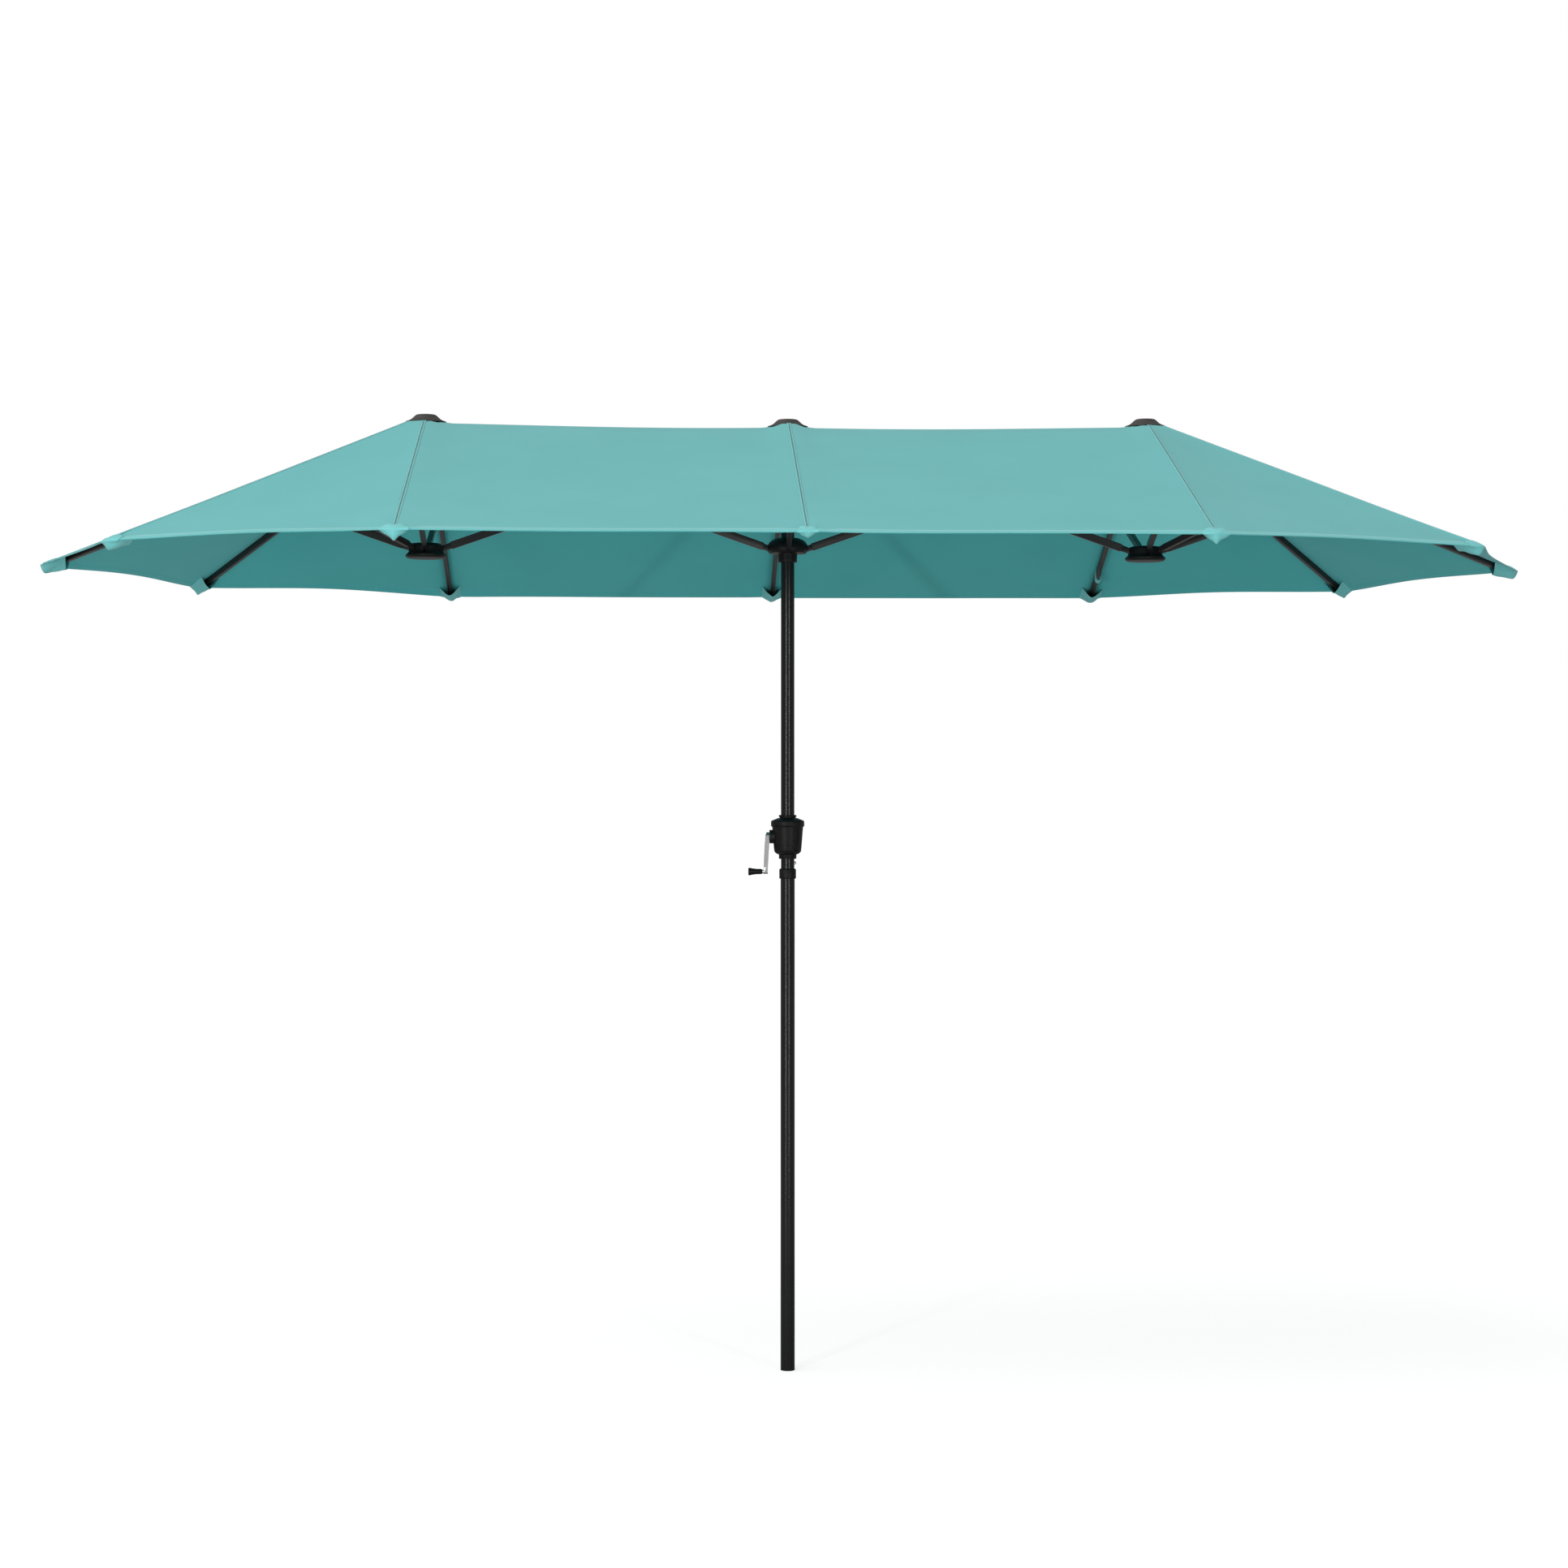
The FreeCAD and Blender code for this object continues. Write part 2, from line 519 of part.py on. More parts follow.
upper_line = groove_strip([(-30.0, CRANK_Z + 30), (8.0, CRANK_Z + 28), (24.0, CRANK_Z + 41)])
lower_line = groove_strip([(-34.0, CRANK_Z - 24), (8.0, CRANK_Z - 25.5), (23.0, CRANK_Z - 39)])
oval_ring = oval_block(OVAL_RADIUS).cut(oval_block(OVAL_RADIUS - 3 * GROOVE_HALF))
core = turned([(max(r - GROOVE_DEPTH, POLE_UPPER_RADIUS), z) for r, z in outer])
shell = shell.cut([line.cut(core) for line in (upper_line, lower_line, oval_ring)])
SCREW_RADIUS = 1.6
SCREW_HEAD = 3.2
SCREW_HEAD_Y = 24.0
SCREW_TIP_Y = -12.0
screws = []
screw_room = []
for p in posts:
    screws.append(
        union(
            [
                cylinder(SCREW_RADIUS, p + at(0, SCREW_TIP_Y, 0), p + at(0, SCREW_HEAD_Y, 0)),
                cylinder(SCREW_HEAD, p + at(0, SCREW_HEAD_Y - 2, 0), p + at(0, SCREW_HEAD_Y, 0)),
            ]
        )
    )
    screw_room.append(cylinder(SCREW_RADIUS, p + at(0, SCREW_TIP_Y, 0), p + at(0, SCREW_HEAD_Y, 0)))
    screw_room.append(cylinder(SCREW_HEAD, p + at(0, SCREW_HEAD_Y - 2, 0), p + at(0, 50, 0)))
shell = shell.cut(screw_room)
front_half = Part.makeBox(200, 100, 300, at(-100, -100, HOUSING_LOW - 50))
back_half = Part.makeBox(200, 100, 300, at(-100, 0, HOUSING_LOW - 50))
save("crank_housing_front", shell.common(front_half))
save("crank_housing_back", shell.common(back_half))
save("housing_screws", Part.makeCompound(screws))

# ---- crank: a drum and shaft in the pole, a cast arm outside, and a knob that spins on its end ----
DRUM_RADIUS = 14.0
DRUM_HALF = 7.5
CRANK_THROW = 93.0
ARM_INNER_X = BOSS_FACE - 1.0
KNOB_Z = CRANK_Z - CRANK_THROW
KNOB_INNER_X = -68.0
KNOB_OUTER_X = -105.0
drum = union(
    [
        cylinder(DRUM_RADIUS - 3, at(-DRUM_HALF, 0, CRANK_Z), at(DRUM_HALF, 0, CRANK_Z)),
        cylinder(DRUM_RADIUS, at(-DRUM_HALF, 0, CRANK_Z), at(-DRUM_HALF + 2, 0, CRANK_Z)),
        cylinder(DRUM_RADIUS, at(DRUM_HALF - 2, 0, CRANK_Z), at(DRUM_HALF, 0, CRANK_Z)),
        cylinder(SHAFT_RADIUS, at(ARM_INNER_X - 2, 0, CRANK_Z), at(SHAFT_END_X, 0, CRANK_Z)),
    ]
)
save("crank_drum", drum)
arm_side = [
    (ARM_INNER_X, CRANK_Z + 14), (ARM_INNER_X, CRANK_Z - 22), (ARM_INNER_X - 1.5, CRANK_Z - 48),
    (ARM_INNER_X - 3.5, KNOB_Z + 10), (ARM_INNER_X - 3.5, KNOB_Z - 6.5), (ARM_INNER_X - 14.5, KNOB_Z - 6.5),
    (ARM_INNER_X - 14.5, KNOB_Z + 12), (ARM_INNER_X - 12, CRANK_Z - 30), (ARM_INNER_X - 9.5, CRANK_Z + 4),
    (ARM_INNER_X - 6, CRANK_Z + 14),
]
arm_face = Part.Face(
    Part.Wire(
        [
            Part.Arc(at(0, -12, CRANK_Z), at(0, 0, CRANK_Z + 12), at(0, 12, CRANK_Z)).toShape(),
            Part.makeLine(at(0, 12, CRANK_Z), at(0, 6.5, KNOB_Z)),
            Part.Arc(at(0, 6.5, KNOB_Z), at(0, 0, KNOB_Z - 6.5), at(0, -6.5, KNOB_Z)).toShape(),
            Part.makeLine(at(0, -6.5, KNOB_Z), at(0, -12, CRANK_Z)),
        ]
    )
)
arm_outline = arm_face.extrude(at(-100, 0, 0))
arm_body = flat_bar(arm_side, 60.0).common(arm_outline)
stud_hole = cylinder(SHAFT_RADIUS, at(0, 0, CRANK_Z), at(ARM_INNER_X - 2, 0, CRANK_Z))
KNOB_PIN_RADIUS = 3.0
nub = cylinder(5.5, at(ARM_INNER_X - 11, 0, KNOB_Z), at(KNOB_INNER_X + GAP, 0, KNOB_Z))
knob_pin = cylinder(KNOB_PIN_RADIUS, at(KNOB_INNER_X + 5, 0, KNOB_Z), at(KNOB_OUTER_X + 6, 0, KNOB_Z))
save("crank_arm", union([arm_body.cut(stud_hole), nub, knob_pin]))
knob_profile = [
    at(KNOB_INNER_X, 0, 0), at(KNOB_INNER_X, 6.0, 0), at(KNOB_INNER_X - 2, 7.0, 0), at(-85, 7.5, 0),
    at(-96, 9.0, 0), at(-102, 10.5, 0), at(-104.5, 9.5, 0), at(KNOB_OUTER_X, 8.0, 0), at(KNOB_OUTER_X, 0, 0),
    at(KNOB_INNER_X, 0, 0),
]
knob = Part.Face(Part.makePolygon(knob_profile)).revolve(at(0, 0, 0), ALONG_X, 360)
knob.translate(at(0, 0, KNOB_Z))
knob_bore = cylinder(
    KNOB_PIN_RADIUS + RUNNING_FIT, at(KNOB_INNER_X + 1, 0, KNOB_Z), at(KNOB_OUTER_X + 5, 0, KNOB_Z)
)
save("crank_knob", knob.cut(knob_bore))


# ---- canopy: flat woven panels between ribs, a ridge strip between hubs, a disc under each cap ----
def fabric_z(radius):
    return rib_axis_z(radius) + RIB_HEIGHT / 2 / cos(radians(RIB_SLOPE)) + FABRIC_LIFT


def panel(corners):
    face = Part.Face(Part.makePolygon(corners + corners[:1]))
    normal = face.normalAt(0, 0)
    if normal.z < 0:
        normal = -normal
    return face.extrude(normal * FABRIC)


def gore(side, from_rib, to_rib):
    """The panel between two ribs of one hub."""
    outward = (FABRIC_INNER_RADIUS, CANOPY_REACH)
    corners = []
    for name, edge in ((from_rib, outward), (to_rib, reversed(outward))):
        azimuth = radians(RIBS[side][name])
        for r in edge:
            corners.append(at(HUB_X[side] + r * cos(azimuth), r * sin(azimuth), fabric_z(r)))
    return panel(corners)


def long_panel(toward_x, toward_y):
    """The panel between the parallel ribs of the centre hub and one side hub."""
    inner = FABRIC_INNER_RADIUS * toward_y
    outer = CANOPY_REACH * toward_y
    far = HUB_SPACING * toward_x
    high = fabric_z(FABRIC_INNER_RADIUS)
    low = fabric_z(CANOPY_REACH)
    return panel([at(0, inner, high), at(far, inner, high), at(far, outer, low), at(0, outer, low)])


def under_cap(side, hub_top):
    ring = Part.makeCylinder(HUB_FLANGE_RADIUS + 2, FABRIC, at(0, 0, hub_top + GAP))
    ring = ring.cut(Part.makeCylinder(CAP_STEM_RADIUS, 10, at(0, 0, hub_top - 5)))
    ring.translate(at(HUB_X[side], 0, 0))
    return ring


for side in ("left", "right"):
    for end in ("front", "back"):
        pair = [gore(side, end, end + "_corner"), gore(side, end + "_corner", "end")]
        save(side + "_" + end + "_panels", Part.makeCompound(pair))
    save(side + "_crown", under_cap(side, SIDE_HUB_TOP))
for end, toward_y in (("front", -1), ("back", 1)):
    pair = [long_panel(-1, toward_y), long_panel(1, toward_y)]
    save("centre_" + end + "_panels", Part.makeCompound(pair))
ridge_z = fabric_z(FABRIC_INNER_RADIUS)
ridge_start = HUB_FLANGE_RADIUS + 6
ridge_length = HUB_SPACING - 2 * ridge_start
ridge_half = FABRIC_INNER_RADIUS - 1
ridges = [
    Part.makeBox(ridge_length, 2 * ridge_half, FABRIC, at(x, -ridge_half, ridge_z))
    for x in (ridge_start, -ridge_start - ridge_length)
]
save("canopy_ridge", Part.makeCompound([under_cap("centre", CENTRE_HUB_TOP)] + ridges))

# ---- tie strap: a fabric loop on the right back rib, which holds the folded canopy ----
STRAP_RADIUS = 820.0
STRAP_WIDTH = 25.0
STRAP = 1.0
STRAP_LOW = -24.0
STRAP_TOP = RIB_HEIGHT / 2 - 0.6
STRAP_ACROSS = RIB_WIDTH + 2 * STRAP + 0.4
strap_height = STRAP_TOP - STRAP_LOW
strap_outer = Part.makeBox(STRAP_WIDTH, STRAP_ACROSS, strap_height, at(0, -STRAP_ACROSS / 2, STRAP_LOW))
strap_inner = Part.makeBox(
    STRAP_WIDTH, STRAP_ACROSS - 2 * STRAP, strap_height, at(0, STRAP - STRAP_ACROSS / 2, STRAP_LOW + STRAP)
)
strap = strap_outer.cut(strap_inner)
strap.rotate(at(0, 0, 0), ALONG_Y, RIB_SLOPE)
strap.translate(at(STRAP_RADIUS, 0, rib_axis_z(STRAP_RADIUS)))
save("tie_strap", placed(strap, RIBS["right"]["back"], HUB_X["right"]))
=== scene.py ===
from math import atan, atan2, cos, exp, hypot, pi, radians, sin, sqrt

import bmesh
import bpy
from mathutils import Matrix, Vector, noise


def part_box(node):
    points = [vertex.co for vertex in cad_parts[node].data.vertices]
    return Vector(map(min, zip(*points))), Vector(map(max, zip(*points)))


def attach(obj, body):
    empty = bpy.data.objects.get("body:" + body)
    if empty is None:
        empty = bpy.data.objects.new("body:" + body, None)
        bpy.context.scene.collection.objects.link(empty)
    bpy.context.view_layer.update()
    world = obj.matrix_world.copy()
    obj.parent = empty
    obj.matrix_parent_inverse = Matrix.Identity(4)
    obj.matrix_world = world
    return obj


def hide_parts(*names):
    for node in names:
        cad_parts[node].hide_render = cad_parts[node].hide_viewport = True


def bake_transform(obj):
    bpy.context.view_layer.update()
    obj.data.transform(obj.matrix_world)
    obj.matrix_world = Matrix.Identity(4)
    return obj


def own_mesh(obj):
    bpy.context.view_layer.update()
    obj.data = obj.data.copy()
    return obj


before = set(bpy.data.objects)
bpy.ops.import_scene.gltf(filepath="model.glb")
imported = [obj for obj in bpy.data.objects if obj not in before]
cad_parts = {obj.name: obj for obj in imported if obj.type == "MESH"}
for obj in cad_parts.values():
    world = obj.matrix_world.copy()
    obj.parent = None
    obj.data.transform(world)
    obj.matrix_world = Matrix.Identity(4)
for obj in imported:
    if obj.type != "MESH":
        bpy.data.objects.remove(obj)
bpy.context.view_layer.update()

# ---- Pole ----
# Two steel tubes, 38 mm below and 36 mm above, powder-coated satin black. The upper one is swaged
# to plug into the lower one, and a moulded collar covers the joint.
FLOAT = "NodeSocketFloat"
GRAIN_HEIGHT = 0.0004


def node_group(name, kind, inputs, outputs):
    """A node group with named inputs, each with its value, and named outputs."""
    group = bpy.data.node_groups.new(name, kind)
    for label, socket_type, value in inputs:
        socket = group.interface.new_socket(label, in_out="INPUT", socket_type=socket_type)
        if value is not None:
            socket.default_value = value
    for label, socket_type in outputs:
        group.interface.new_socket(label, in_out="OUTPUT", socket_type=socket_type)
    inside = group.nodes.new("NodeGroupInput").outputs
    return group, inside, group.nodes.new("NodeGroupOutput").inputs


def add(tree, kind, inputs=(), **settings):
    """A node with its settings and inputs, where an input is a value or another node's socket."""
    node = tree.nodes.new(kind)
    for key, value in settings.items():
        setattr(node, key, value)
    for key, value in dict(inputs).items():
        if isinstance(value, bpy.types.NodeSocket):
            tree.links.new(value, node.inputs[key])
        else:
            node.inputs[key].default_value = value
    return node


def mixed_colour(tree, share, first, second):
    """The colour between two others, each a colour or a socket."""
    node = add(tree, "ShaderNodeMix", data_type="RGBA")
    tree.links.new(share, node.inputs[0])
    for index, value in ((6, first), (7, second)):
        if isinstance(value, bpy.types.NodeSocket):
            tree.links.new(value, node.inputs[index])
        else:
            node.inputs[index].default_value = (*value, 1)
    return node.outputs[2]


def spread_of(tree, value, low, high):
    """A 0 to 1 value spread between low and high."""
    node = add(tree, "ShaderNodeMapRange", {"Value": value, "To Min": low, "To Max": high})
    return node.outputs["Result"]


grain, grain_in, grain_out = node_group(
    "surface_grain", "ShaderNodeTree",
    [("Grain per metre", FLOAT, 400.0), ("Cloud per metre", FLOAT, 6.0)],
    [("Grain", FLOAT), ("Cloud", FLOAT)],
)
spot = grain.nodes.new("ShaderNodeTexCoord").outputs["Object"]
for label, source in (("Grain", "Grain per metre"), ("Cloud", "Cloud per metre")):
    cloud = add(
        grain, "ShaderNodeTexNoise", {"Vector": spot, "Scale": grain_in[source], "Detail": 3.0}
    )
    grain.links.new(cloud.outputs["Fac"], grain_out[label])


def hard_finish(
    name, dark, light, roughness, per_metre, bump, metallic=0.0, cloud=6.0, uneven=0.12, shine=0.5
):
    """A hard finish whose colour and gloss drift slowly over a fine grain."""
    made = bpy.data.materials.new(name)
    made.use_nodes = True
    tree = made.node_tree
    shader = tree.nodes["Principled BSDF"]
    shader.inputs["Metallic"].default_value = metallic
    shader.inputs["Specular IOR Level"].default_value = shine
    texture = add(tree, "ShaderNodeGroup", node_tree=grain)
    texture.inputs["Grain per metre"].default_value = per_metre
    texture.inputs["Cloud per metre"].default_value = cloud
    colour = mixed_colour(tree, texture.outputs["Cloud"], dark, light)
    tree.links.new(colour, shader.inputs["Base Color"])
    gloss = spread_of(tree, texture.outputs["Grain"], roughness - uneven / 2, roughness + uneven / 2)
    tree.links.new(gloss, shader.inputs["Roughness"])
    relief = add(
        tree, "ShaderNodeBump",
        {"Height": texture.outputs["Grain"], "Strength": bump, "Distance": GRAIN_HEIGHT},
    )
    tree.links.new(relief.outputs["Normal"], shader.inputs["Normal"])
    return made


pole_black = hard_finish(
    "satin_black_powder_coat", (0.006, 0.006, 0.0065), (0.011, 0.0105, 0.0105), 0.19, 700.0, 0.12,
    uneven=0.08, shine=0.3,
)
moulded_black = hard_finish(
    "moulded_black_nylon", (0.004, 0.004, 0.0045), (0.009, 0.0085, 0.009), 0.42, 1400.0, 0.35, shine=0.18
)


def rounded(name, node, body, material, bevel=0.0008, smooth=35.0):
    """The shape of a CAD node with its facets joined, its faces smooth and its edges rounded."""
    piece = bpy.data.objects.new(name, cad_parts[node].data.copy())
    bpy.context.collection.objects.link(piece)
    piece.modifiers.new("merge", "WELD").merge_threshold = 0.00001
    welded = piece.evaluated_get(bpy.context.evaluated_depsgraph_get())
    mesh = bpy.data.meshes.new_from_object(welded)
    piece.modifiers.clear()
    piece.data = mesh
    mesh.materials.clear()
    mesh.materials.append(material)
    mesh.shade_smooth()
    mesh.set_sharp_from_angle(angle=radians(smooth))
    if bevel:
        edge = piece.modifiers.new("edge", "BEVEL")
        edge.width = bevel
        edge.segments = 2
        edge.limit_method = "ANGLE"
        edge.angle_limit = radians(smooth)
    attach(piece, body)
    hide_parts(node)
    return piece


rounded("lower_tube", "lower_pole", "pole", pole_black, 0.0004)
rounded("upper_tube", "upper_pole", "pole", pole_black, 0.0003)
rounded("joint_collar", "pole_collar", "pole", moulded_black)

# ---- Snap button ----
# A bright pressed-steel button on a bent spring strip inside the upper tube. It pops out through
# both tubes' holes, and pressing it lets the two sections part.
bright_steel = hard_finish(
    "bright_steel", (0.52, 0.52, 0.53), (0.66, 0.66, 0.66), 0.28, 900.0, 0.15, metallic=1.0
)
rounded("push_button", "snap_button", "snap_button", bright_steel, 0.0004)
rounded("button_strip", "button_spring", "pole", bright_steel, 0.0)

# ---- Crank housing ----
# Two nylon half shells around the upper tube, screwed together from the back with four screws. The
# drum that winds the lift cord turns inside them.
for half in ("front", "back"):
    rounded("housing_" + half, "crank_housing_" + half, "pole", moulded_black, 0.0006)
rounded("shell_screws", "housing_screws", "pole", bright_steel, 0.0003)

# ---- Crank ----
# A cast aluminium arm keyed to the drum's shaft, a nub at its end, and a flared plastic knob that
# spins freely on the nub's pin.
cast_aluminium = hard_finish(
    "cast_aluminium", (0.42, 0.42, 0.43), (0.58, 0.58, 0.58), 0.34, 500.0, 0.4, metallic=1.0
)
rounded("handle_arm", "crank_arm", "crank", cast_aluminium, 0.0012)
rounded("cord_drum", "crank_drum", "crank", bright_steel, 0.0004)
rounded("handle_knob", "crank_knob", "crank_knob", moulded_black, 0.0008)
pulley_white = hard_finish("white_acetal", (0.62, 0.62, 0.60), (0.7, 0.7, 0.68), 0.4, 800.0, 0.1)
rounded("lift_pulley", "cord_pulley", "cord_pulley", pulley_white, 0.0004)

# ---- Hubs ----
# Moulded nylon rings with a slot and a pin for every bar: the top hub and the runner on the pole,
# and a top and a low hub at each end of the canopy.
rounded("top_hub_centre", "centre_top_hub", "pole", moulded_black)
rounded("runner_ring", "runner", "runner", moulded_black)
for side in ("left", "right"):
    rounded("top_hub_" + side, side + "_top_hub", side + "_top_hub", moulded_black)
    rounded("low_hub_" + side, side + "_low_hub", side + "_low_hub", moulded_black)

# ---- Arms, ribs and struts ----
# Painted rectangular steel tubes with flattened ends. The crossing arms carry the side hubs, and a
# forked strut holds each rib at half its length.
frame_paint = hard_finish(
    "charcoal_frame_paint", (0.012, 0.0095, 0.0095), (0.022, 0.018, 0.018), 0.36, 600.0, 0.3, shine=0.4
)
RIB_AZIMUTHS = {
    "left": {"front": 270, "front_corner": 225, "end": 180, "back_corner": 135, "back": 90},
    "centre": {"front": 270, "back": 90},
    "right": {"front": 270, "front_corner": 315, "end": 0, "back_corner": 45, "back": 90},
}
for side in ("left", "right"):
    for arm in ("_arm_down", "_arm_up"):
        rounded(side + arm + "_bar", side + arm, side + arm, frame_paint, 0.0009)
for side, ribs in RIB_AZIMUTHS.items():
    for way in ribs:
        for bar in ("rib", "strut"):
            key = f"{side}_{way}_{bar}"
            rounded(key + "_bar", key, key, frame_paint, 0.0008)

# ---- Canopy ----
# One sheet of teal solution-dyed polyester sewn from gores with a felled seam over every rib and a
# turned hem. Each gore is two halves here, one on each of its ribs, that meet in its middle.
HUB_SPACING = sum((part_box("right_cap")[i].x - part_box("left_cap")[i].x) for i in (0, 1)) / 4
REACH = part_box("centre_back_panels")[1].y
APEX = 2.5413            # where the rib lines would meet above a hub
FALL = 0.4               # how much the ribs drop for each unit outwards
FAN = radians(45)        # between two ribs of a side hub
CLOTH = 0.001            # the cloth's thickness
CAP_EDGE = 0.054
RIB_START = 0.066        # where the cloth first rests on a rib
FAN_SAG = 0.009          # how far the cloth hangs between two ribs of a side hub
SAG_RUN = 0.94           # over what length it does so
LONG_SAG = 0.012         # the same in the middle of a long panel
RIDGE_SAG = 0.004
HELD_HALF = 0.008        # half the width that a centre rib holds up beside a cap
HELD_FADE = 0.05
TUCK = 0.025             # where the cloth ends under a cap
PETAL_EDGE = 0.095       # where the shoulders round a side hub end
CROWN = {"centre": 2.5103, "left": 2.5173, "right": 2.5173}
HUB_X = {"left": -HUB_SPACING, "centre": 0.0, "right": HUB_SPACING}
TIPS = [
    (HUB_X[side] + REACH * cos(radians(a)), REACH * sin(radians(a)), radians(a))
    for side, ribs in RIB_AZIMUTHS.items() for a in ribs.values()
]


FOLD_HEIGHT = 0.003      # the folds at a rib's tip, how they fade, and how many go round it
FOLD_START = 0.02
FOLD_FADE = 0.13
FOLD_REACH = 0.45
FOLDS_ROUND = 7
SLOW_HEIGHT = 0.0022     # the slow waves over the whole sheet
SLOW_PER_METRE = 2.2


def eased(value):
    value = min(max(value, 0.0), 1.0)
    return value * value * (3 - 2 * value)


def between(low, high, share):
    return low + (high - low) * share


def wrinkle(x, y):
    """Small folds that fan out from each rib's tip and fade into the taut cloth."""
    height = 0.0
    for tip_x, tip_y, azimuth in TIPS:
        away = hypot(x - tip_x, y - tip_y)
        if away < FOLD_REACH:
            angle = atan2(y - tip_y, x - tip_x) - azimuth
            fade = exp(-away / FOLD_FADE) * (1 - exp(-away / FOLD_START))
            height += FOLD_HEIGHT * fade * sin(FOLDS_ROUND * angle + 2 * sin(3 * azimuth))
    slow = noise.noise(Vector((x * SLOW_PER_METRE, y * SLOW_PER_METRE, 0.3))) * SLOW_HEIGHT
    return height + slow * eased((abs(y) - 0.1) / 0.4)


def cloth_height(x, y):
    """The canopy's underside at rest above the point (x, y)."""
    outside = abs(x) - HUB_SPACING
    if outside > 0:
        away = hypot(outside, y)
        off = abs(atan2(y, outside))
        middle = (int(off / FAN) + 0.5) * FAN if off < 2 * FAN else 1.5 * FAN
        off -= middle
        height = APEX - FALL * away * cos(off) / cos(FAN / 2)
        slack = 1 - (off / (FAN / 2)) ** 2
        run = min(max((away - RIB_START) / SAG_RUN, 0), 1)
        height -= FAN_SAG * max(slack, 0) * sin(pi * run)
        crown = CROWN["left"]
    else:
        side = min(abs(x), HUB_SPACING - abs(x))
        run = eased((abs(x) - CAP_EDGE) / (HUB_SPACING - 2 * CAP_EDGE))
        ridge = between(CROWN["centre"], CROWN["left"], run)
        ridge -= RIDGE_SAG * sin(pi * min(abs(x) / HUB_SPACING, 1))
        width = (APEX - ridge) / FALL
        held = (1 - eased((side - HELD_HALF) / HELD_FADE)) * eased((abs(y) - 0.03) / (RIB_START - 0.03))
        height = APEX - FALL * hypot(y, width * (1 - held))
        height -= LONG_SAG * sin(pi * side / HUB_SPACING) * sin(pi * min(abs(y) / REACH, 1))
        away = hypot(side, y)
        crown = CROWN["centre"] if abs(x) < HUB_SPACING / 2 else CROWN["left"]
    height += wrinkle(x, y)
    return between(crown, height, eased((away - CAP_EDGE) / (RIB_START - CAP_EDGE)))


def cloth_normal(x, y):
    """The upward direction square to the cloth above the point (x, y)."""
    step = 0.002
    slope_x = (cloth_height(x + step, y) - cloth_height(x - step, y)) / (2 * step)
    slope_y = (cloth_height(x, y + step) - cloth_height(x, y - step)) / (2 * step)
    return Vector((-slope_x, -slope_y, 1)).normalized()


UNDER_SLOT = 1           # a sheet's materials: its top, its underside, whose colour paints light shining through the cloth, and its hem, which carries a painted highlight
HEM_SLOT = 2


def sewn_sheet(name, rows, materials, hem_from=None):
    """A closed cloth mesh from rows of (x, y, extra height above the cloth, extra below it)."""
    across = len(rows[0])
    top = []
    low = []
    for row in rows:
        for x, y, above, below in row:
            normal = cloth_normal(x, y)
            point = Vector((x, y, cloth_height(x, y)))
            top.append(point + normal * (CLOTH + above))
            low.append(point - normal * below)
    count = len(top)
    faces = []
    slots = []

    def face(indices, slot):
        faces.append(indices)
        slots.append(slot)

    for i in range(len(rows) - 1):
        for j in range(across - 1):
            a = i * across + j
            face((a, a + across, a + across + 1, a + 1), HEM_SLOT if hem_from and i >= hem_from else 0)
            face((count + a, count + a + 1, count + a + across + 1, count + a + across), UNDER_SLOT)
    loop = list(range(across))
    loop += [i * across + across - 1 for i in range(1, len(rows))]
    loop += [(len(rows) - 1) * across + j for j in range(across - 2, -1, -1)]
    loop += [i * across for i in range(len(rows) - 2, 0, -1)]
    for a, b in zip(loop, loop[1:] + loop[:1]):
        face((a, b, count + b, count + a), 0)
    first = faces[0]
    edge = (top[first[1]] - top[first[0]]).cross(top[first[3]] - top[first[0]])
    if edge.z < 0:
        faces = [tuple(reversed(f)) for f in faces]
    mesh = bpy.data.meshes.new(name)
    mesh.from_pydata(top + low, [], faces)
    for material in materials:
        mesh.materials.append(material)
    mesh.polygons.foreach_set("material_index", slots)
    mesh.shade_smooth()
    mesh.set_sharp_from_angle(angle=radians(50))
    mesh.update()
    piece = bpy.data.objects.new(name, mesh)
    bpy.context.collection.objects.link(piece)
    return piece


weave, weave_in, weave_out = node_group(
    "woven_cloth", "ShaderNodeTree",
    [("Threads per metre", FLOAT, 900.0), ("Slub per metre", FLOAT, 5.0)],
    [("Thread", FLOAT), ("Slub", FLOAT)],
)
spot = weave.nodes.new("ShaderNodeTexCoord").outputs["Object"]
runs = []
for stretch in ((1.0, 0.12, 1.0), (0.12, 1.0, 1.0)):
    turned = add(weave, "ShaderNodeMapping", {"Vector": spot, "Scale": stretch})
    thread = add(
        weave, "ShaderNodeTexNoise",
        {"Vector": turned.outputs["Vector"], "Scale": weave_in["Threads per metre"], "Detail": 2.0},
    )
    runs.append(thread.outputs["Fac"])
crossed = add(weave, "ShaderNodeMath", {0: runs[0], 1: runs[1]}, operation="MAXIMUM").outputs[0]
slub = add(
    weave, "ShaderNodeTexNoise", {"Vector": spot, "Scale": weave_in["Slub per metre"], "Detail": 4.0}
)
weave.links.new(crossed, weave_out["Thread"])
weave.links.new(slub.outputs["Fac"], weave_out["Slub"])


THREAD_HEIGHT = 0.0005


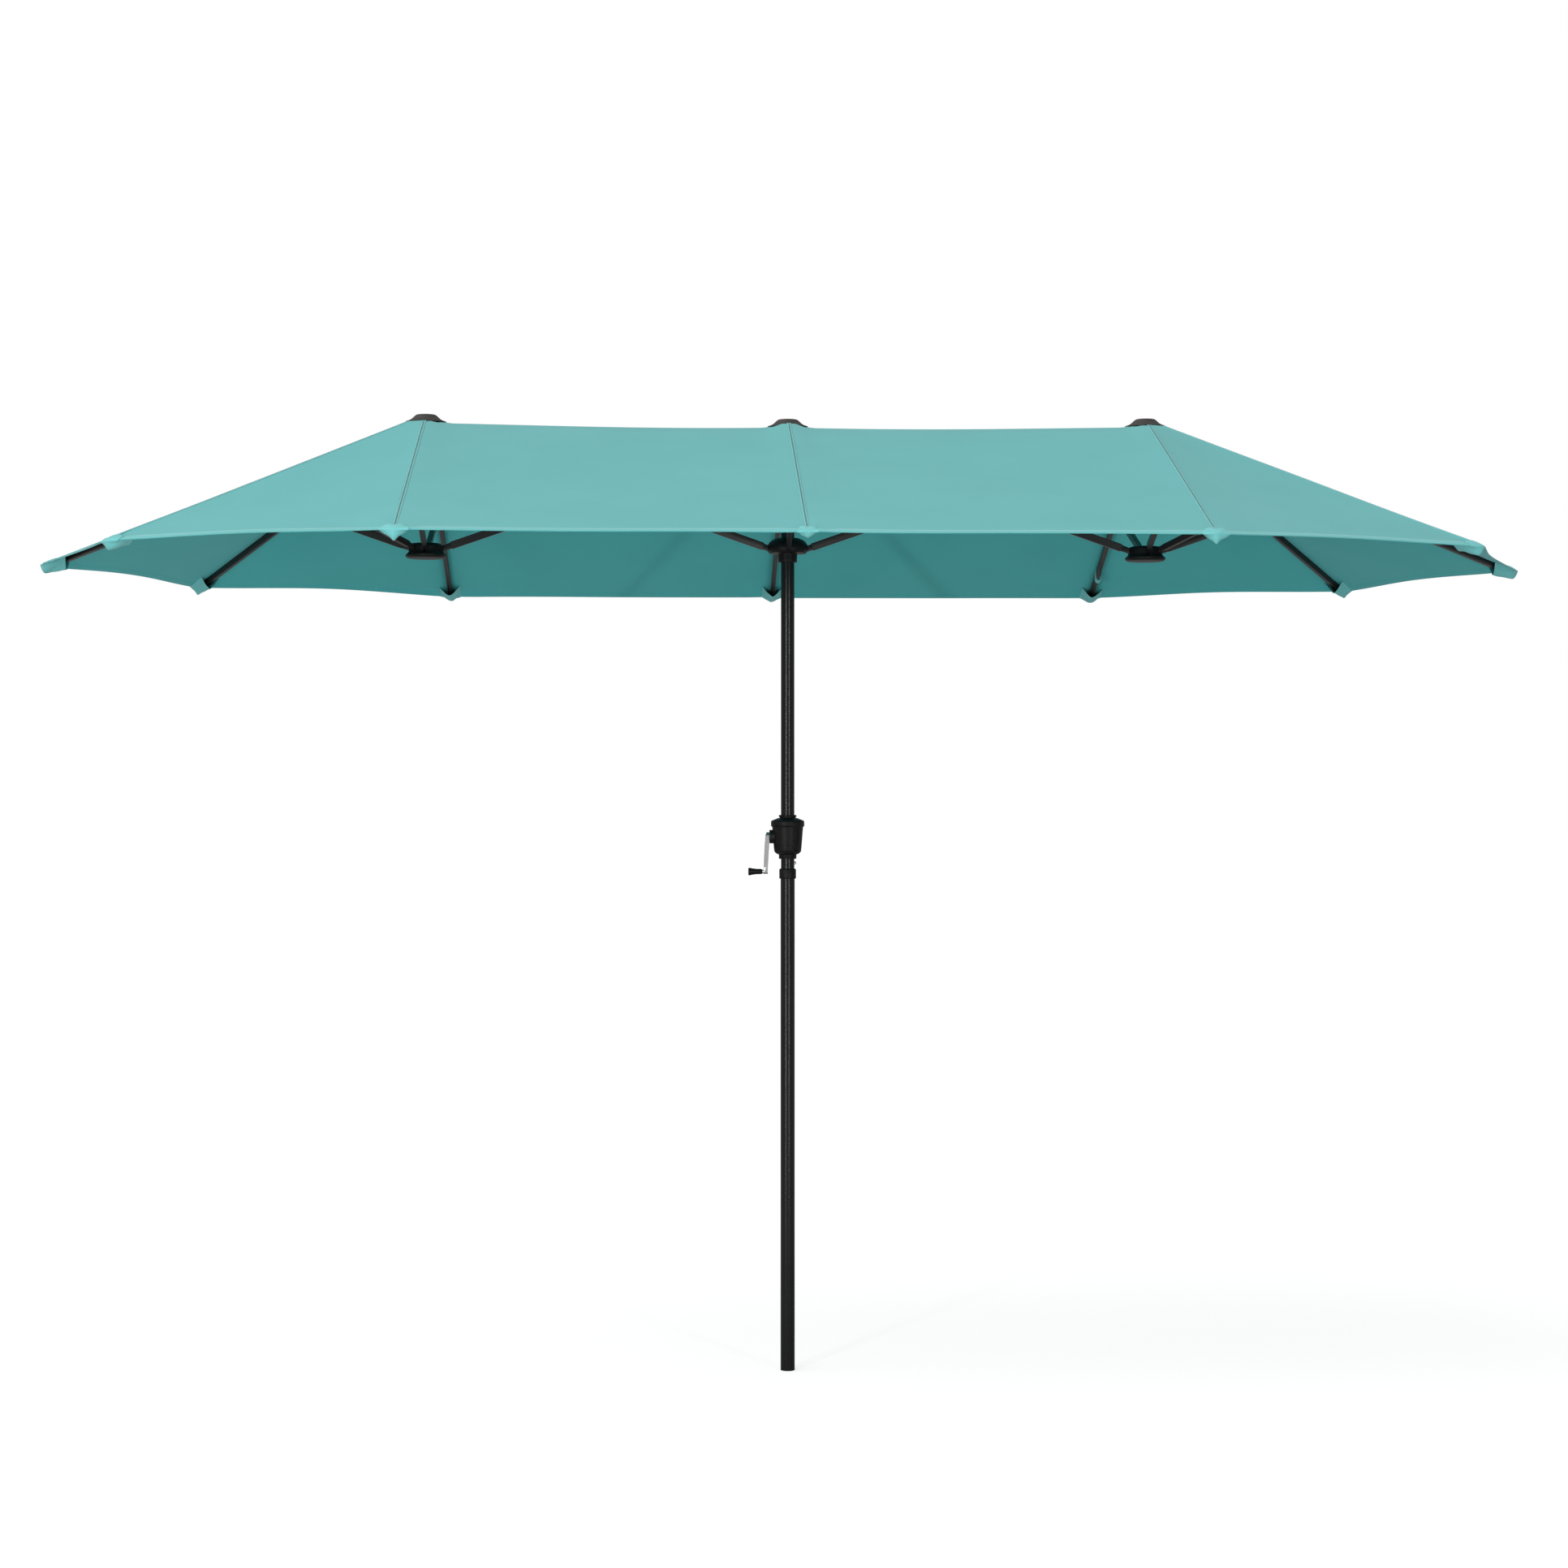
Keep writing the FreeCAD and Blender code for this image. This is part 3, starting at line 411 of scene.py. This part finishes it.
def cloth_finish(name, dark, light, bump=0.35, sheen=0.15):
    """Woven polyester: threads that differ a little in shade, slow patches, and a soft sheen."""
    made = bpy.data.materials.new(name)
    made.use_nodes = True
    tree = made.node_tree
    shader = tree.nodes["Principled BSDF"]
    shader.inputs["Sheen Weight"].default_value = sheen
    shader.inputs["Sheen Roughness"].default_value = 0.5
    shader.inputs["Specular IOR Level"].default_value = 0.25
    texture = add(tree, "ShaderNodeGroup", node_tree=weave)
    thread = texture.outputs["Thread"]
    both = add(tree, "ShaderNodeMath", {0: thread, 1: texture.outputs["Slub"]}, operation="ADD")
    half = add(tree, "ShaderNodeMath", {0: both.outputs[0], 1: 0.5}, operation="MULTIPLY")
    tree.links.new(mixed_colour(tree, half.outputs[0], dark, light), shader.inputs["Base Color"])
    tree.links.new(spread_of(tree, thread, 0.75, 0.95), shader.inputs["Roughness"])
    relief = add(
        tree, "ShaderNodeBump", {"Height": thread, "Strength": bump, "Distance": THREAD_HEIGHT}
    )
    tree.links.new(relief.outputs["Normal"], shader.inputs["Normal"])
    return made


teal_top = cloth_finish("teal_canopy", (0.107, 0.43, 0.427), (0.15, 0.53, 0.535))
# A more saturated copy of the top cloth for the underside: painted light shining through the cloth from
# above.
teal_under_painted_translucency = cloth_finish("teal_canopy_underside_painted_translucency", (0.05, 0.44, 0.445), (0.08, 0.54, 0.55))
# A paler copy of the same cloth for the pockets: painted light, standing for their outer faces lit from
# the front.
teal_pale_painted_light = cloth_finish("teal_pocket_painted_light", (0.15, 0.53, 0.53), (0.20, 0.62, 0.62))
# A paler copy of the same cloth for the turned hem: a painted highlight along the rim.
teal_hem_painted_highlight = cloth_finish("teal_hem_fold_painted_highlight", (0.14, 0.50, 0.50), (0.19, 0.60, 0.60))
teal_thread = cloth_finish("teal_thread", (0.08, 0.38, 0.38), (0.13, 0.48, 0.48), 0.0, 0.3)
teal_seam = cloth_finish("teal_seam_shadow", (0.05, 0.22, 0.21), (0.08, 0.28, 0.27))
CLOTHS = (teal_top, teal_under_painted_translucency)
HALF_WAYS = 14           # steps across half a gore, and the rows' distances from the rim at its hem
FROM_RIM = (0.026, 0.0235, 0.0215, 0.0195, 0.0183, 0.0172, 0.016, 0.009, 0.003, 0.0008, 0.0)
STITCH_ROW = 4           # the row in the hem that carries its stitches
SCALLOP = 0.024          # how far the rim curves in between two ribs of a side hub


def closer_to_rib(width):
    """Steps from a rib out to the middle of a gore, close together at the rib."""
    return [width * (j / HALF_WAYS) ** 1.25 for j in range(HALF_WAYS + 1)]


def hem_profile(rim):
    """How far the turned hem stands out above and below at a distance from the rim."""
    fold = eased((0.0225 - rim) / 0.002)
    groove = exp(-(((rim - 0.018) / 0.0008) ** 2))
    return 0.0004 * fold - 0.0005 * groove, 0.0011 * fold


def rim_radius(off):
    """The rim's distance from a side hub at an angle from the nearest rib."""
    chord = REACH * cos(FAN / 2) / cos(FAN / 2 - off)
    return chord - SCALLOP * sin(pi * off / FAN) ** 1.5


def fan_rows(hub_x, azimuth, way, inner):
    """Rows of half a gore between two ribs of a side hub, from inner out to the rim."""
    angles = closer_to_rib(FAN / 2)
    hem_start = [rim_radius(off) - FROM_RIM[0] / cos(FAN / 2 - off) for off in angles]
    steps = 26
    rows = [
        [(between(inner, far, i / steps), off, 0.0, 0.0) for far, off in zip(hem_start, angles)]
        for i in range(steps + 1)
    ]
    for rim in FROM_RIM[1:]:
        above, below = hem_profile(rim)
        rows.append([(rim_radius(off) - rim / cos(FAN / 2 - off), off, above, below) for off in angles])
    return [
        [(hub_x + r * cos(azimuth + way * off), r * sin(azimuth + way * off), above, below)
         for r, off, above, below in row]
        for row in rows
    ]


TAPE = 0.075             # half the ridge tape's width, and how far the panels step down under it
TAPE_STEP = 0.0012


def long_rows(rib_x, toward, front):
    """Rows of half a long panel, from under the ridge tape out to the rim."""
    tucked = [TUCK, 0.035, 0.045, 0.055, RIB_START, TAPE - 0.0045, 0.073, TAPE + 0.0005, 0.0785, 0.085]
    outer = REACH - FROM_RIM[0]
    stations = []
    for away in tucked + [between(0.1, outer, i / 30) for i in range(31)]:
        under = -TAPE_STEP * (1 - eased((away - (TAPE - 0.0045)) / 0.005))
        stations.append((away, under, -under))
    stations += [(REACH - rim, *hem_profile(rim)) for rim in FROM_RIM[1:]]
    return [
        [(rib_x + toward * span, front * away, above, below) for span in closer_to_rib(HUB_SPACING / 2)]
        for away, above, below in stations
    ]


thread_tree, thread_in, thread_out = node_group(
    "stitch_run", "GeometryNodeTree",
    [("Line", "NodeSocketGeometry", None), ("Pitch", FLOAT, 0.0045), ("Stitch length", FLOAT, 0.0032),
     ("Thread", FLOAT, 0.0007), ("Finish", "NodeSocketMaterial", None)],
    [("Stitches", "NodeSocketGeometry")],
)
line = add(thread_tree, "GeometryNodeMeshToCurve", {"Mesh": thread_in["Line"]})
steps = add(
    thread_tree, "GeometryNodeResampleCurve",
    {"Curve": line.outputs[0], "Length": thread_in["Pitch"]}, mode="LENGTH",
)
bead = add(thread_tree, "GeometryNodeMeshIcoSphere", {"Radius": 0.5, "Subdivisions": 1})
size = add(
    thread_tree, "ShaderNodeCombineXYZ",
    {"X": thread_in["Stitch length"], "Y": thread_in["Thread"], "Z": thread_in["Thread"]},
)
along = add(thread_tree, "GeometryNodeInputTangent")
turned = add(thread_tree, "FunctionNodeAlignRotationToVector", {"Vector": along.outputs[0]}, axis="X")
placed = add(
    thread_tree, "GeometryNodeInstanceOnPoints",
    {"Points": steps.outputs[0], "Instance": bead.outputs["Mesh"], "Rotation": turned.outputs[0],
     "Scale": size.outputs[0]},
)
real = add(thread_tree, "GeometryNodeRealizeInstances", {"Geometry": placed.outputs[0]})
dyed = add(
    thread_tree, "GeometryNodeSetMaterial",
    {"Geometry": real.outputs[0], "Material": thread_in["Finish"]},
)
thread_tree.links.new(dyed.outputs[0], thread_out["Stitches"])


def grown(name, tree, mesh, values):
    """The plain mesh that a geometry tree makes from a mesh, with its inputs set by name."""
    holder = bpy.data.objects.new(name, mesh)
    bpy.context.collection.objects.link(holder)
    maker = holder.modifiers.new("maker", "NODES")
    maker.node_group = tree
    for item in tree.interface.items_tree:
        if item.in_out == "INPUT" and item.name in values:
            maker[item.identifier] = values[item.name]
    result = bpy.data.meshes.new_from_object(
        holder.evaluated_get(bpy.context.evaluated_depsgraph_get())
    )
    bpy.data.objects.remove(holder)
    result.name = name
    return result


def stitched(name, lines, finish_used):
    """Stitches along several lines of points, as one mesh."""
    points = [p for one in lines for p in one]
    edges = []
    start = 0
    for one in lines:
        edges += [(start + i, start + i + 1) for i in range(len(one) - 1)]
        start += len(one)
    path = bpy.data.meshes.new(name + "_line")
    path.from_pydata(points, edges, [])
    return grown(name, thread_tree, path, {"Finish": finish_used})


def joined(piece, extra):
    """Adds another mesh, with its own material, to a piece's mesh."""
    both = bmesh.new()
    both.from_mesh(piece.data)
    whole = len(both.faces)
    both.from_mesh(extra)
    both.faces.ensure_lookup_table()
    slot_index = len(piece.data.materials)
    for one in both.faces[whole:]:
        one.material_index = slot_index
        one.smooth = True
    both.to_mesh(piece.data)
    both.free()
    piece.data.materials.append(extra.materials[0])
    piece.data.update()


def on_cloth(x, y, above=0.0):
    """A point on the cloth's top face, or a little above it."""
    return Vector((x, y, cloth_height(x, y))) + cloth_normal(x, y) * (CLOTH + above)


def folded_with(piece, side, way, turn, tilt, keep, aside):
    """Lets half a gore ride its rib."""
    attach(piece, f"{side}_{way}_rib")
    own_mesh(piece)


def faces_ridge(side, way, turn):
    """Whether the half gore on one side of a rib is part of a long panel beside the ridge."""
    if way not in ("front", "back"):
        return False
    return side == "centre" or cos(radians(RIB_AZIMUTHS[side][way]) + turn * ASIDE) * HUB_X[side] < 0


ASIDE = 0.4                                  # an angle to one side of a rib, well inside its gore
LONG_FOLD = (radians(6), 0.262, 0.0)         # tilt, share kept, and the gathering line's place
FAN_FOLD = (radians(20), 0.275, 0.0078)
for side, ribs in RIB_AZIMUTHS.items():
    for way, degrees in ribs.items():
        azimuth = radians(degrees)
        for turn in (1, -1):
            inward = faces_ridge(side, way, turn)
            if inward:
                toward = 1 if cos(azimuth + turn * ASIDE) > 0 else -1
                rows = long_rows(HUB_X[side], toward, sin(azimuth))
            else:
                rows = fan_rows(HUB_X[side], azimuth, turn, PETAL_EDGE)
            name = f"{side}_{way}_gore_{'a' if turn > 0 else 'b'}"
            hem_start = len(rows) - len(FROM_RIM)
            # The hem rows take the copy of the cloth that carries the painted highlight.
            piece = sewn_sheet(name, rows, CLOTHS + (teal_hem_painted_highlight,), hem_start + 1)
            hem_line = [on_cloth(x, y, 0.0001) for x, y, _, _ in rows[hem_start + STITCH_ROW]]
            joined(piece, stitched(name + "_hem", [hem_line], teal_thread))
            folded_with(piece, side, way, turn, *(LONG_FOLD if inward else FAN_FOLD))
            end = "front" if sin(azimuth + turn * 0.1) < 0 else "back"
            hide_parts(f"{'centre' if inward else side}_{end}_panels")

# The felled seams over the ribs: two rolled edges, a stitched line on each, and a ditch between.
SEAM = ((-0.0056, -0.0004), (-0.0050, 0.0009), (-0.0014, 0.0011), (-0.0009, 0.0002), (0.0009, 0.0002),
        (0.0014, 0.0011), (0.0050, 0.0009), (0.0056, -0.0004))
DITCH = (2, 3, 4)        # the seam's strips between its two rolled edges
for side, ribs in RIB_AZIMUTHS.items():
    for way, degrees in ribs.items():
        azimuth = radians(degrees)
        outward = Vector((cos(azimuth), sin(azimuth)))
        sideways = Vector((-sin(azimuth), cos(azimuth)))
        origin = Vector((HUB_X[side], 0))
        stations = [between(0.063, REACH - 0.004, i / 60) for i in range(61)]

        def seam_point(away, aside, above):
            spot = origin + outward * away + sideways * aside
            return on_cloth(spot.x, spot.y, above)

        points = [seam_point(away, *pair) for away in stations for pair in SEAM]
        width = len(SEAM)
        faces = [
            (i * width + j, (i + 1) * width + j, (i + 1) * width + (j + 1) % width,
             i * width + (j + 1) % width)
            for i in range(len(stations) - 1) for j in range(width)
        ]
        last = (len(stations) - 1) * width
        faces += [tuple(range(width)), tuple(last + j for j in reversed(range(width)))]
        mesh = bpy.data.meshes.new(f"{side}_{way}_seam")
        mesh.from_pydata(points, [], faces)
        mesh.materials.append(teal_top)
        mesh.materials.append(teal_seam)
        for i, one in enumerate(mesh.polygons):
            one.material_index = 1 if i < last and i % width in DITCH else 0
        mesh.shade_smooth()
        mesh.set_sharp_from_angle(angle=radians(60))
        seam = bpy.data.objects.new(f"{side}_{way}_seam", mesh)
        bpy.context.collection.objects.link(seam)
        lines = [[seam_point(away, aside, 0.0012) for away in stations] for aside in (-0.0032, 0.0032)]
        joined(seam, stitched(seam.name + "_thread", lines, teal_thread))
        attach(seam, f"{side}_{way}_rib")

# Their inner ends bend over the edge of each side hub, from under its cap down onto the ribs.
for side in ("left", "right"):
    for way, degrees in RIB_AZIMUTHS[side].items():
        azimuth = radians(degrees)
        outward = Vector((cos(azimuth), sin(azimuth), 0))
        hub = Vector((HUB_X[side], 0, CROWN[side]))
        ways = [turn for turn in (1, -1) if not faces_ridge(side, way, turn)]
        spread = sorted({turn * off for turn in ways for off in closer_to_rib(FAN / 2)})
        rows = [
            [(hub.x + r * cos(azimuth + off), r * sin(azimuth + off), 0.0, 0.0) for off in spread]
            for r in [between(TUCK, PETAL_EDGE, i / 14) for i in range(15)]
        ]
        piece = sewn_sheet(f"{side}_{way}_shoulder", rows, CLOTHS)
        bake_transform(piece)

# A tape of the same cloth lies flush along the ridge, over the inner edges of the long panels.
for side, sign in (("left", -1), ("right", 1)):
    rows = [
        [(sign * x, y * sign, 0.0, -0.0005) for y in [between(-TAPE, TAPE, j / 12) for j in range(13)]]
        for x in [between(CAP_EDGE - 0.004, HUB_SPACING - CAP_EDGE + 0.004, i / 40) for i in range(41)]
    ]
    tape = sewn_sheet(side + "_ridge_tape", rows, CLOTHS)
    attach(tape, "pole")
    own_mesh(tape)
    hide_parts("canopy_ridge")

# A cloth washer is clamped under the middle of each cap.
WASHER = ((0.0065, 0.0), (0.0245, 0.0), (0.0245, CLOTH), (0.0065, CLOTH))
for side in ("left", "right"):
    turns = 32
    points = [
        (HUB_X[side] + r * cos(2 * pi * i / turns), r * sin(2 * pi * i / turns), CROWN[side] + lift)
        for r, lift in WASHER for i in range(turns)
    ]
    faces = [
        (ring * turns + i, (ring + 1) % 4 * turns + i, (ring + 1) % 4 * turns + (i + 1) % turns,
         ring * turns + (i + 1) % turns)
        for ring in range(4) for i in range(turns)
    ]
    mesh = bpy.data.meshes.new(side + "_washer")
    mesh.from_pydata(points, [], [f[::-1] for f in faces])
    mesh.materials.append(teal_top)
    washer = bpy.data.objects.new(side + "_washer", mesh)
    bpy.context.collection.objects.link(washer)
    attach(washer, side + "_top_hub")
    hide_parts(side + "_crown")

# ---- Caps ----
# A moulded cap with a thin flange and a dished side screws down over the cloth on every hub.
faded_black = hard_finish(
    "faded_black_nylon", (0.036, 0.034, 0.032), (0.052, 0.049, 0.046), 0.5, 1200.0, 0.4, shine=0.35
)
for side, body in (("left", "left_top_hub"), ("centre", "pole"), ("right", "right_top_hub")):
    rounded(side + "_finial", side + "_cap", body, faded_black)

# ---- Tip pockets ----
# A pouch of doubled cloth at every corner: its rounded patch lies on the canopy, turns over the hem,
# and hangs below as a keel that is open on the inner side, where the rib's tip pushes in.
POCKET_HALF = 0.036
POCKET_LONG = 0.070
POCKET_PATCH = 0.038
POCKET_SHAPES = {                            # keel depth outside and inside, spike, half width
    "front": (0.022, 0.033, 0.008, POCKET_HALF),
    "front_corner": (0.025, 0.034, 0.0, POCKET_HALF),
    "end": (0.024, 0.036, 0.0, POCKET_HALF),
    "back_corner": (0.021, 0.032, 0.004, 0.031),
    "back": (0.019, 0.031, 0.0, 0.031),
}
SMALL_POCKET = (0.0155, 0.024, 0.0, 0.026)
KEEL_START = 0.012                           # how far in from the rim the keel is at its first depth


def rim_inward(side, way, turn, aside):
    """How far the rim lies inward of a rib's tip, at a distance to one side of the rib."""
    off = atan(aside / REACH)
    return 0.0 if faces_ridge(side, way, turn) else REACH - rim_radius(off) * cos(off)


for side, ribs in RIB_AZIMUTHS.items():
    for way, degrees in ribs.items():
        key = f"{side}_{way}"
        azimuth = radians(degrees)
        outward = Vector((cos(azimuth), sin(azimuth), 0))
        sideways = Vector((-sin(azimuth), cos(azimuth), 0))
        origin = Vector((HUB_X[side], 0, 0))
        shape = SMALL_POCKET if key == "centre_front" else POCKET_SHAPES[way]
        outer_deep, inner_deep, spike, half = shape
        columns = [0.99 * sin(pi / 2 * (j / 8 - 1)) for j in range(17)]
        rows = []
        for step in range(6):
            rows.append(("patch", step / 5))
        rows += [("turn", 0.0), ("turn", 1.0)]
        for step in range(1, 13):
            rows.append(("keel", (step / 12) ** 1.5))
        points = []
        for part, share in rows:
            for across in columns:
                turn = 1 if across > 0 else -1
                aside = abs(across) * half
                edge = rim_inward(side, way, turn, aside)
                down = 0.0
                if part == "patch":
                    rounded_end = 1 - across * across
                    far = edge + POCKET_PATCH * sqrt(rounded_end) + 0.0005
                    inward = between(far, edge - 0.0004, share)
                    lift = 0.0022 + 0.0024 * sin(pi * share) * rounded_end
                elif part == "turn":
                    inward = edge - 0.0022
                    lift = between(0.0014, -0.0006, share)
                else:
                    inward = between(edge - 0.0008, POCKET_LONG, share)
                    run = inward - edge
                    past = run - KEEL_START
                    deeper = min(max(past / (POCKET_LONG - KEEL_START), 0), 1)
                    keel = between(outer_deep, inner_deep, deeper)
                    keel *= min(1.0, max(run + 0.0008, 0) / 0.0128) ** 0.6
                    keel += spike * exp(-((across / 0.16) ** 2)) * exp(-((past / KEEL_START) ** 2))
                    down = keel * (1 - abs(across) ** 1.3)
                    lift = between(-0.0019, -0.0002, across ** 4)
                    folds = noise.noise(Vector((azimuth * 3 + across * 2.6, inward * 45, HUB_X[side])))
                    down += folds * 0.0028 * (1 - across ** 4)
                spot = origin + outward * (REACH - inward + 0.12 * down) + sideways * across * half
                base = Vector((spot.x, spot.y, cloth_height(spot.x, spot.y)))
                points.append(base + cloth_normal(spot.x, spot.y) * lift - Vector((0, 0, down)))
        across_count = len(columns)
        faces = [
            (i * across_count + j, i * across_count + j + 1, (i + 1) * across_count + j + 1,
             (i + 1) * across_count + j)
            for i in range(len(rows) - 1) for j in range(across_count - 1)
        ]
        middle = across_count // 2
        corner = points[middle]
        first = (points[middle + 1] - corner).cross(points[middle + across_count] - corner)
        if first.z < 0:
            faces = [one[::-1] for one in faces]
        mesh = bpy.data.meshes.new(key + "_pocket")
        mesh.from_pydata(points, [], faces)
        # The pocket's outside takes the paler copy of the cloth, which is painted light; its inner wall
        # takes the underside's copy, which is painted light shining through the cloth.
        mesh.materials.append(teal_pale_painted_light)
        mesh.materials.append(teal_under_painted_translucency)
        mesh.shade_smooth()
        pocket = bpy.data.objects.new(key + "_pocket", mesh)
        bpy.context.collection.objects.link(pocket)
        softened = pocket.modifiers.new("softened", "SUBSURF")
        softened.levels = 1
        softened.render_levels = 1
        wall = pocket.modifiers.new("wall", "SOLIDIFY")
        wall.thickness = 0.0009
        wall.offset = 0
        wall.material_offset = 1
        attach(pocket, key + "_rib")

# ---- Tie strap ----
# A loop of woven tape sewn to the seam over the right back rib. It hangs slack round the rib, and is
# tied round the canopy when it is folded.
TAPE_WIDTH = 0.022
LOOP_DEEP = 0.0345
strap_low, strap_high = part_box("tie_strap")
loop_centre = (strap_low + strap_high) / 2
azimuth = radians(RIB_AZIMUTHS["right"]["back"])
along_rib = (Vector((cos(azimuth), sin(azimuth), 0)) - Vector((0, 0, FALL))).normalized()
over_rib = Vector((FALL * cos(azimuth), FALL * sin(azimuth), 1)).normalized()
across_rib = over_rib.cross(along_rib)
top_of_rib = loop_centre + over_rib * 0.0153
LOOP = ((-0.0068, 0.0), (-0.0076, -0.006), (-0.0082, -0.013), (-0.0088, -0.020), (-0.0082, -0.027),
        (-0.0050, -0.0325), (0.0, -0.0345), (0.0050, -0.0325), (0.0082, -0.027), (0.0090, -0.020),
        (0.0082, -0.013), (0.0074, -0.006), (0.0066, 0.0))
points = []
for index, (aside, above) in enumerate(LOOP):
    slack = index / (len(LOOP) - 1) * 2 - 1
    for j in range(5):
        share = j / 4 - 0.5
        slide = along_rib * (TAPE_WIDTH * share - 0.005 * (1 - slack * slack) * above / LOOP_DEEP)
        curl = over_rib * (0.0016 * sin(3 * slack + 5 * share) * (1 - slack ** 4))
        points.append(top_of_rib + across_rib * aside + over_rib * above + slide + curl)
faces = [
    (i * 5 + j, i * 5 + j + 1, (i + 1) * 5 + j + 1, (i + 1) * 5 + j)
    for i in range(len(LOOP) - 1) for j in range(4)
]
mesh = bpy.data.meshes.new("tie_loop")
mesh.from_pydata(points, [], faces)
# The loop takes the pockets' paler copy of the cloth, whose lighter colour is painted light.
mesh.materials.append(teal_pale_painted_light)
mesh.shade_smooth()
strap = bpy.data.objects.new("tie_loop", mesh)
bpy.context.collection.objects.link(strap)
softened = strap.modifiers.new("softened", "SUBSURF")
softened.levels = 2
softened.render_levels = 2
wall = strap.modifiers.new("wall", "SOLIDIFY")
wall.thickness = 0.001
wall.offset = 0
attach(strap, "right_back_rib")
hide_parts("tie_strap")

# ---- Studio ----
# A pale floor under the pole, a broad soft light from the front left, and two tall narrow lights
# that give the pole its pair of highlights.
bpy.ops.mesh.primitive_plane_add(size=800, location=(0, 0, -0.0005))
ground = bpy.context.object
ground.name = "studio_floor"
floor_white = hard_finish(
    "studio_floor_white", (0.42, 0.42, 0.42), (0.44, 0.44, 0.44), 0.9, 5.0, 0.0, cloud=0.3, shine=0.1
)
tree = floor_white.node_tree
glow = tree.nodes["Principled BSDF"]
glow.inputs["Emission Color"].default_value = (1, 1, 1, 1)
path = add(tree, "ShaderNodeLightPath")
paper = add(tree, "ShaderNodeMath", {0: path.outputs["Is Camera Ray"], 1: 0.72}, operation="MULTIPLY")
tree.links.new(paper.outputs[0], glow.inputs["Emission Strength"])
ground.data.materials.append(floor_white)

world = bpy.data.worlds.new("studio")
bpy.context.scene.world = world
world.use_nodes = True
tree = world.node_tree
lit = tree.nodes["Background"]
lit.inputs["Color"].default_value = (1, 1, 1, 1)
lit.inputs["Strength"].default_value = 0.35
seen = add(tree, "ShaderNodeBackground", {"Color": (1, 1, 1, 1), "Strength": 1.0})
path = add(tree, "ShaderNodeLightPath")
both = add(tree, "ShaderNodeMixShader", {0: path.outputs["Is Camera Ray"]})
tree.links.new(lit.outputs[0], both.inputs[1])
tree.links.new(seen.outputs[0], both.inputs[2])
tree.links.new(both.outputs[0], tree.nodes["World Output"].inputs["Surface"])


def soft_light(name, place, target, width, height, power):
    lamp = bpy.data.lights.new(name, "AREA")
    lamp.shape = "RECTANGLE"
    lamp.size = width
    lamp.size_y = height
    lamp.energy = power
    light = bpy.data.objects.new(name, lamp)
    light.location = place
    light.rotation_euler = (Vector(target) - Vector(place)).to_track_quat("-Z", "Y").to_euler()
    bpy.context.collection.objects.link(light)


soft_light("tall_left", (-2.5, -4.8, 1.5), (0, 0, 1.3), 0.2, 3.4, 85)
soft_light("tall_right", (2.2, -5.0, 1.5), (0, 0, 1.3), 0.2, 3.4, 62)
sun = bpy.data.lights.new("broad_key", "SUN")
sun.energy = 1.9
sun.angle = radians(70)
key = bpy.data.objects.new("broad_key", sun)
key.rotation_euler = (radians(42), 0, radians(-65))
bpy.context.collection.objects.link(key)

EYE = Vector((-0.372, -7.89, 1.465))
FRAME_SIDE = 1932
lens = bpy.data.cameras.new("view")
lens.sensor_width = 36
lens.lens = 68
lens.shift_y = 45 / FRAME_SIDE
lens.shift_x = -4.5 / FRAME_SIDE
viewer = bpy.data.objects.new("view", lens)
viewer.location = EYE
viewer.rotation_euler = (pi / 2, 0, atan2(EYE.x, -EYE.y))
bpy.context.collection.objects.link(viewer)
bpy.context.scene.camera = viewer
bpy.context.scene.view_settings.view_transform = "Standard"
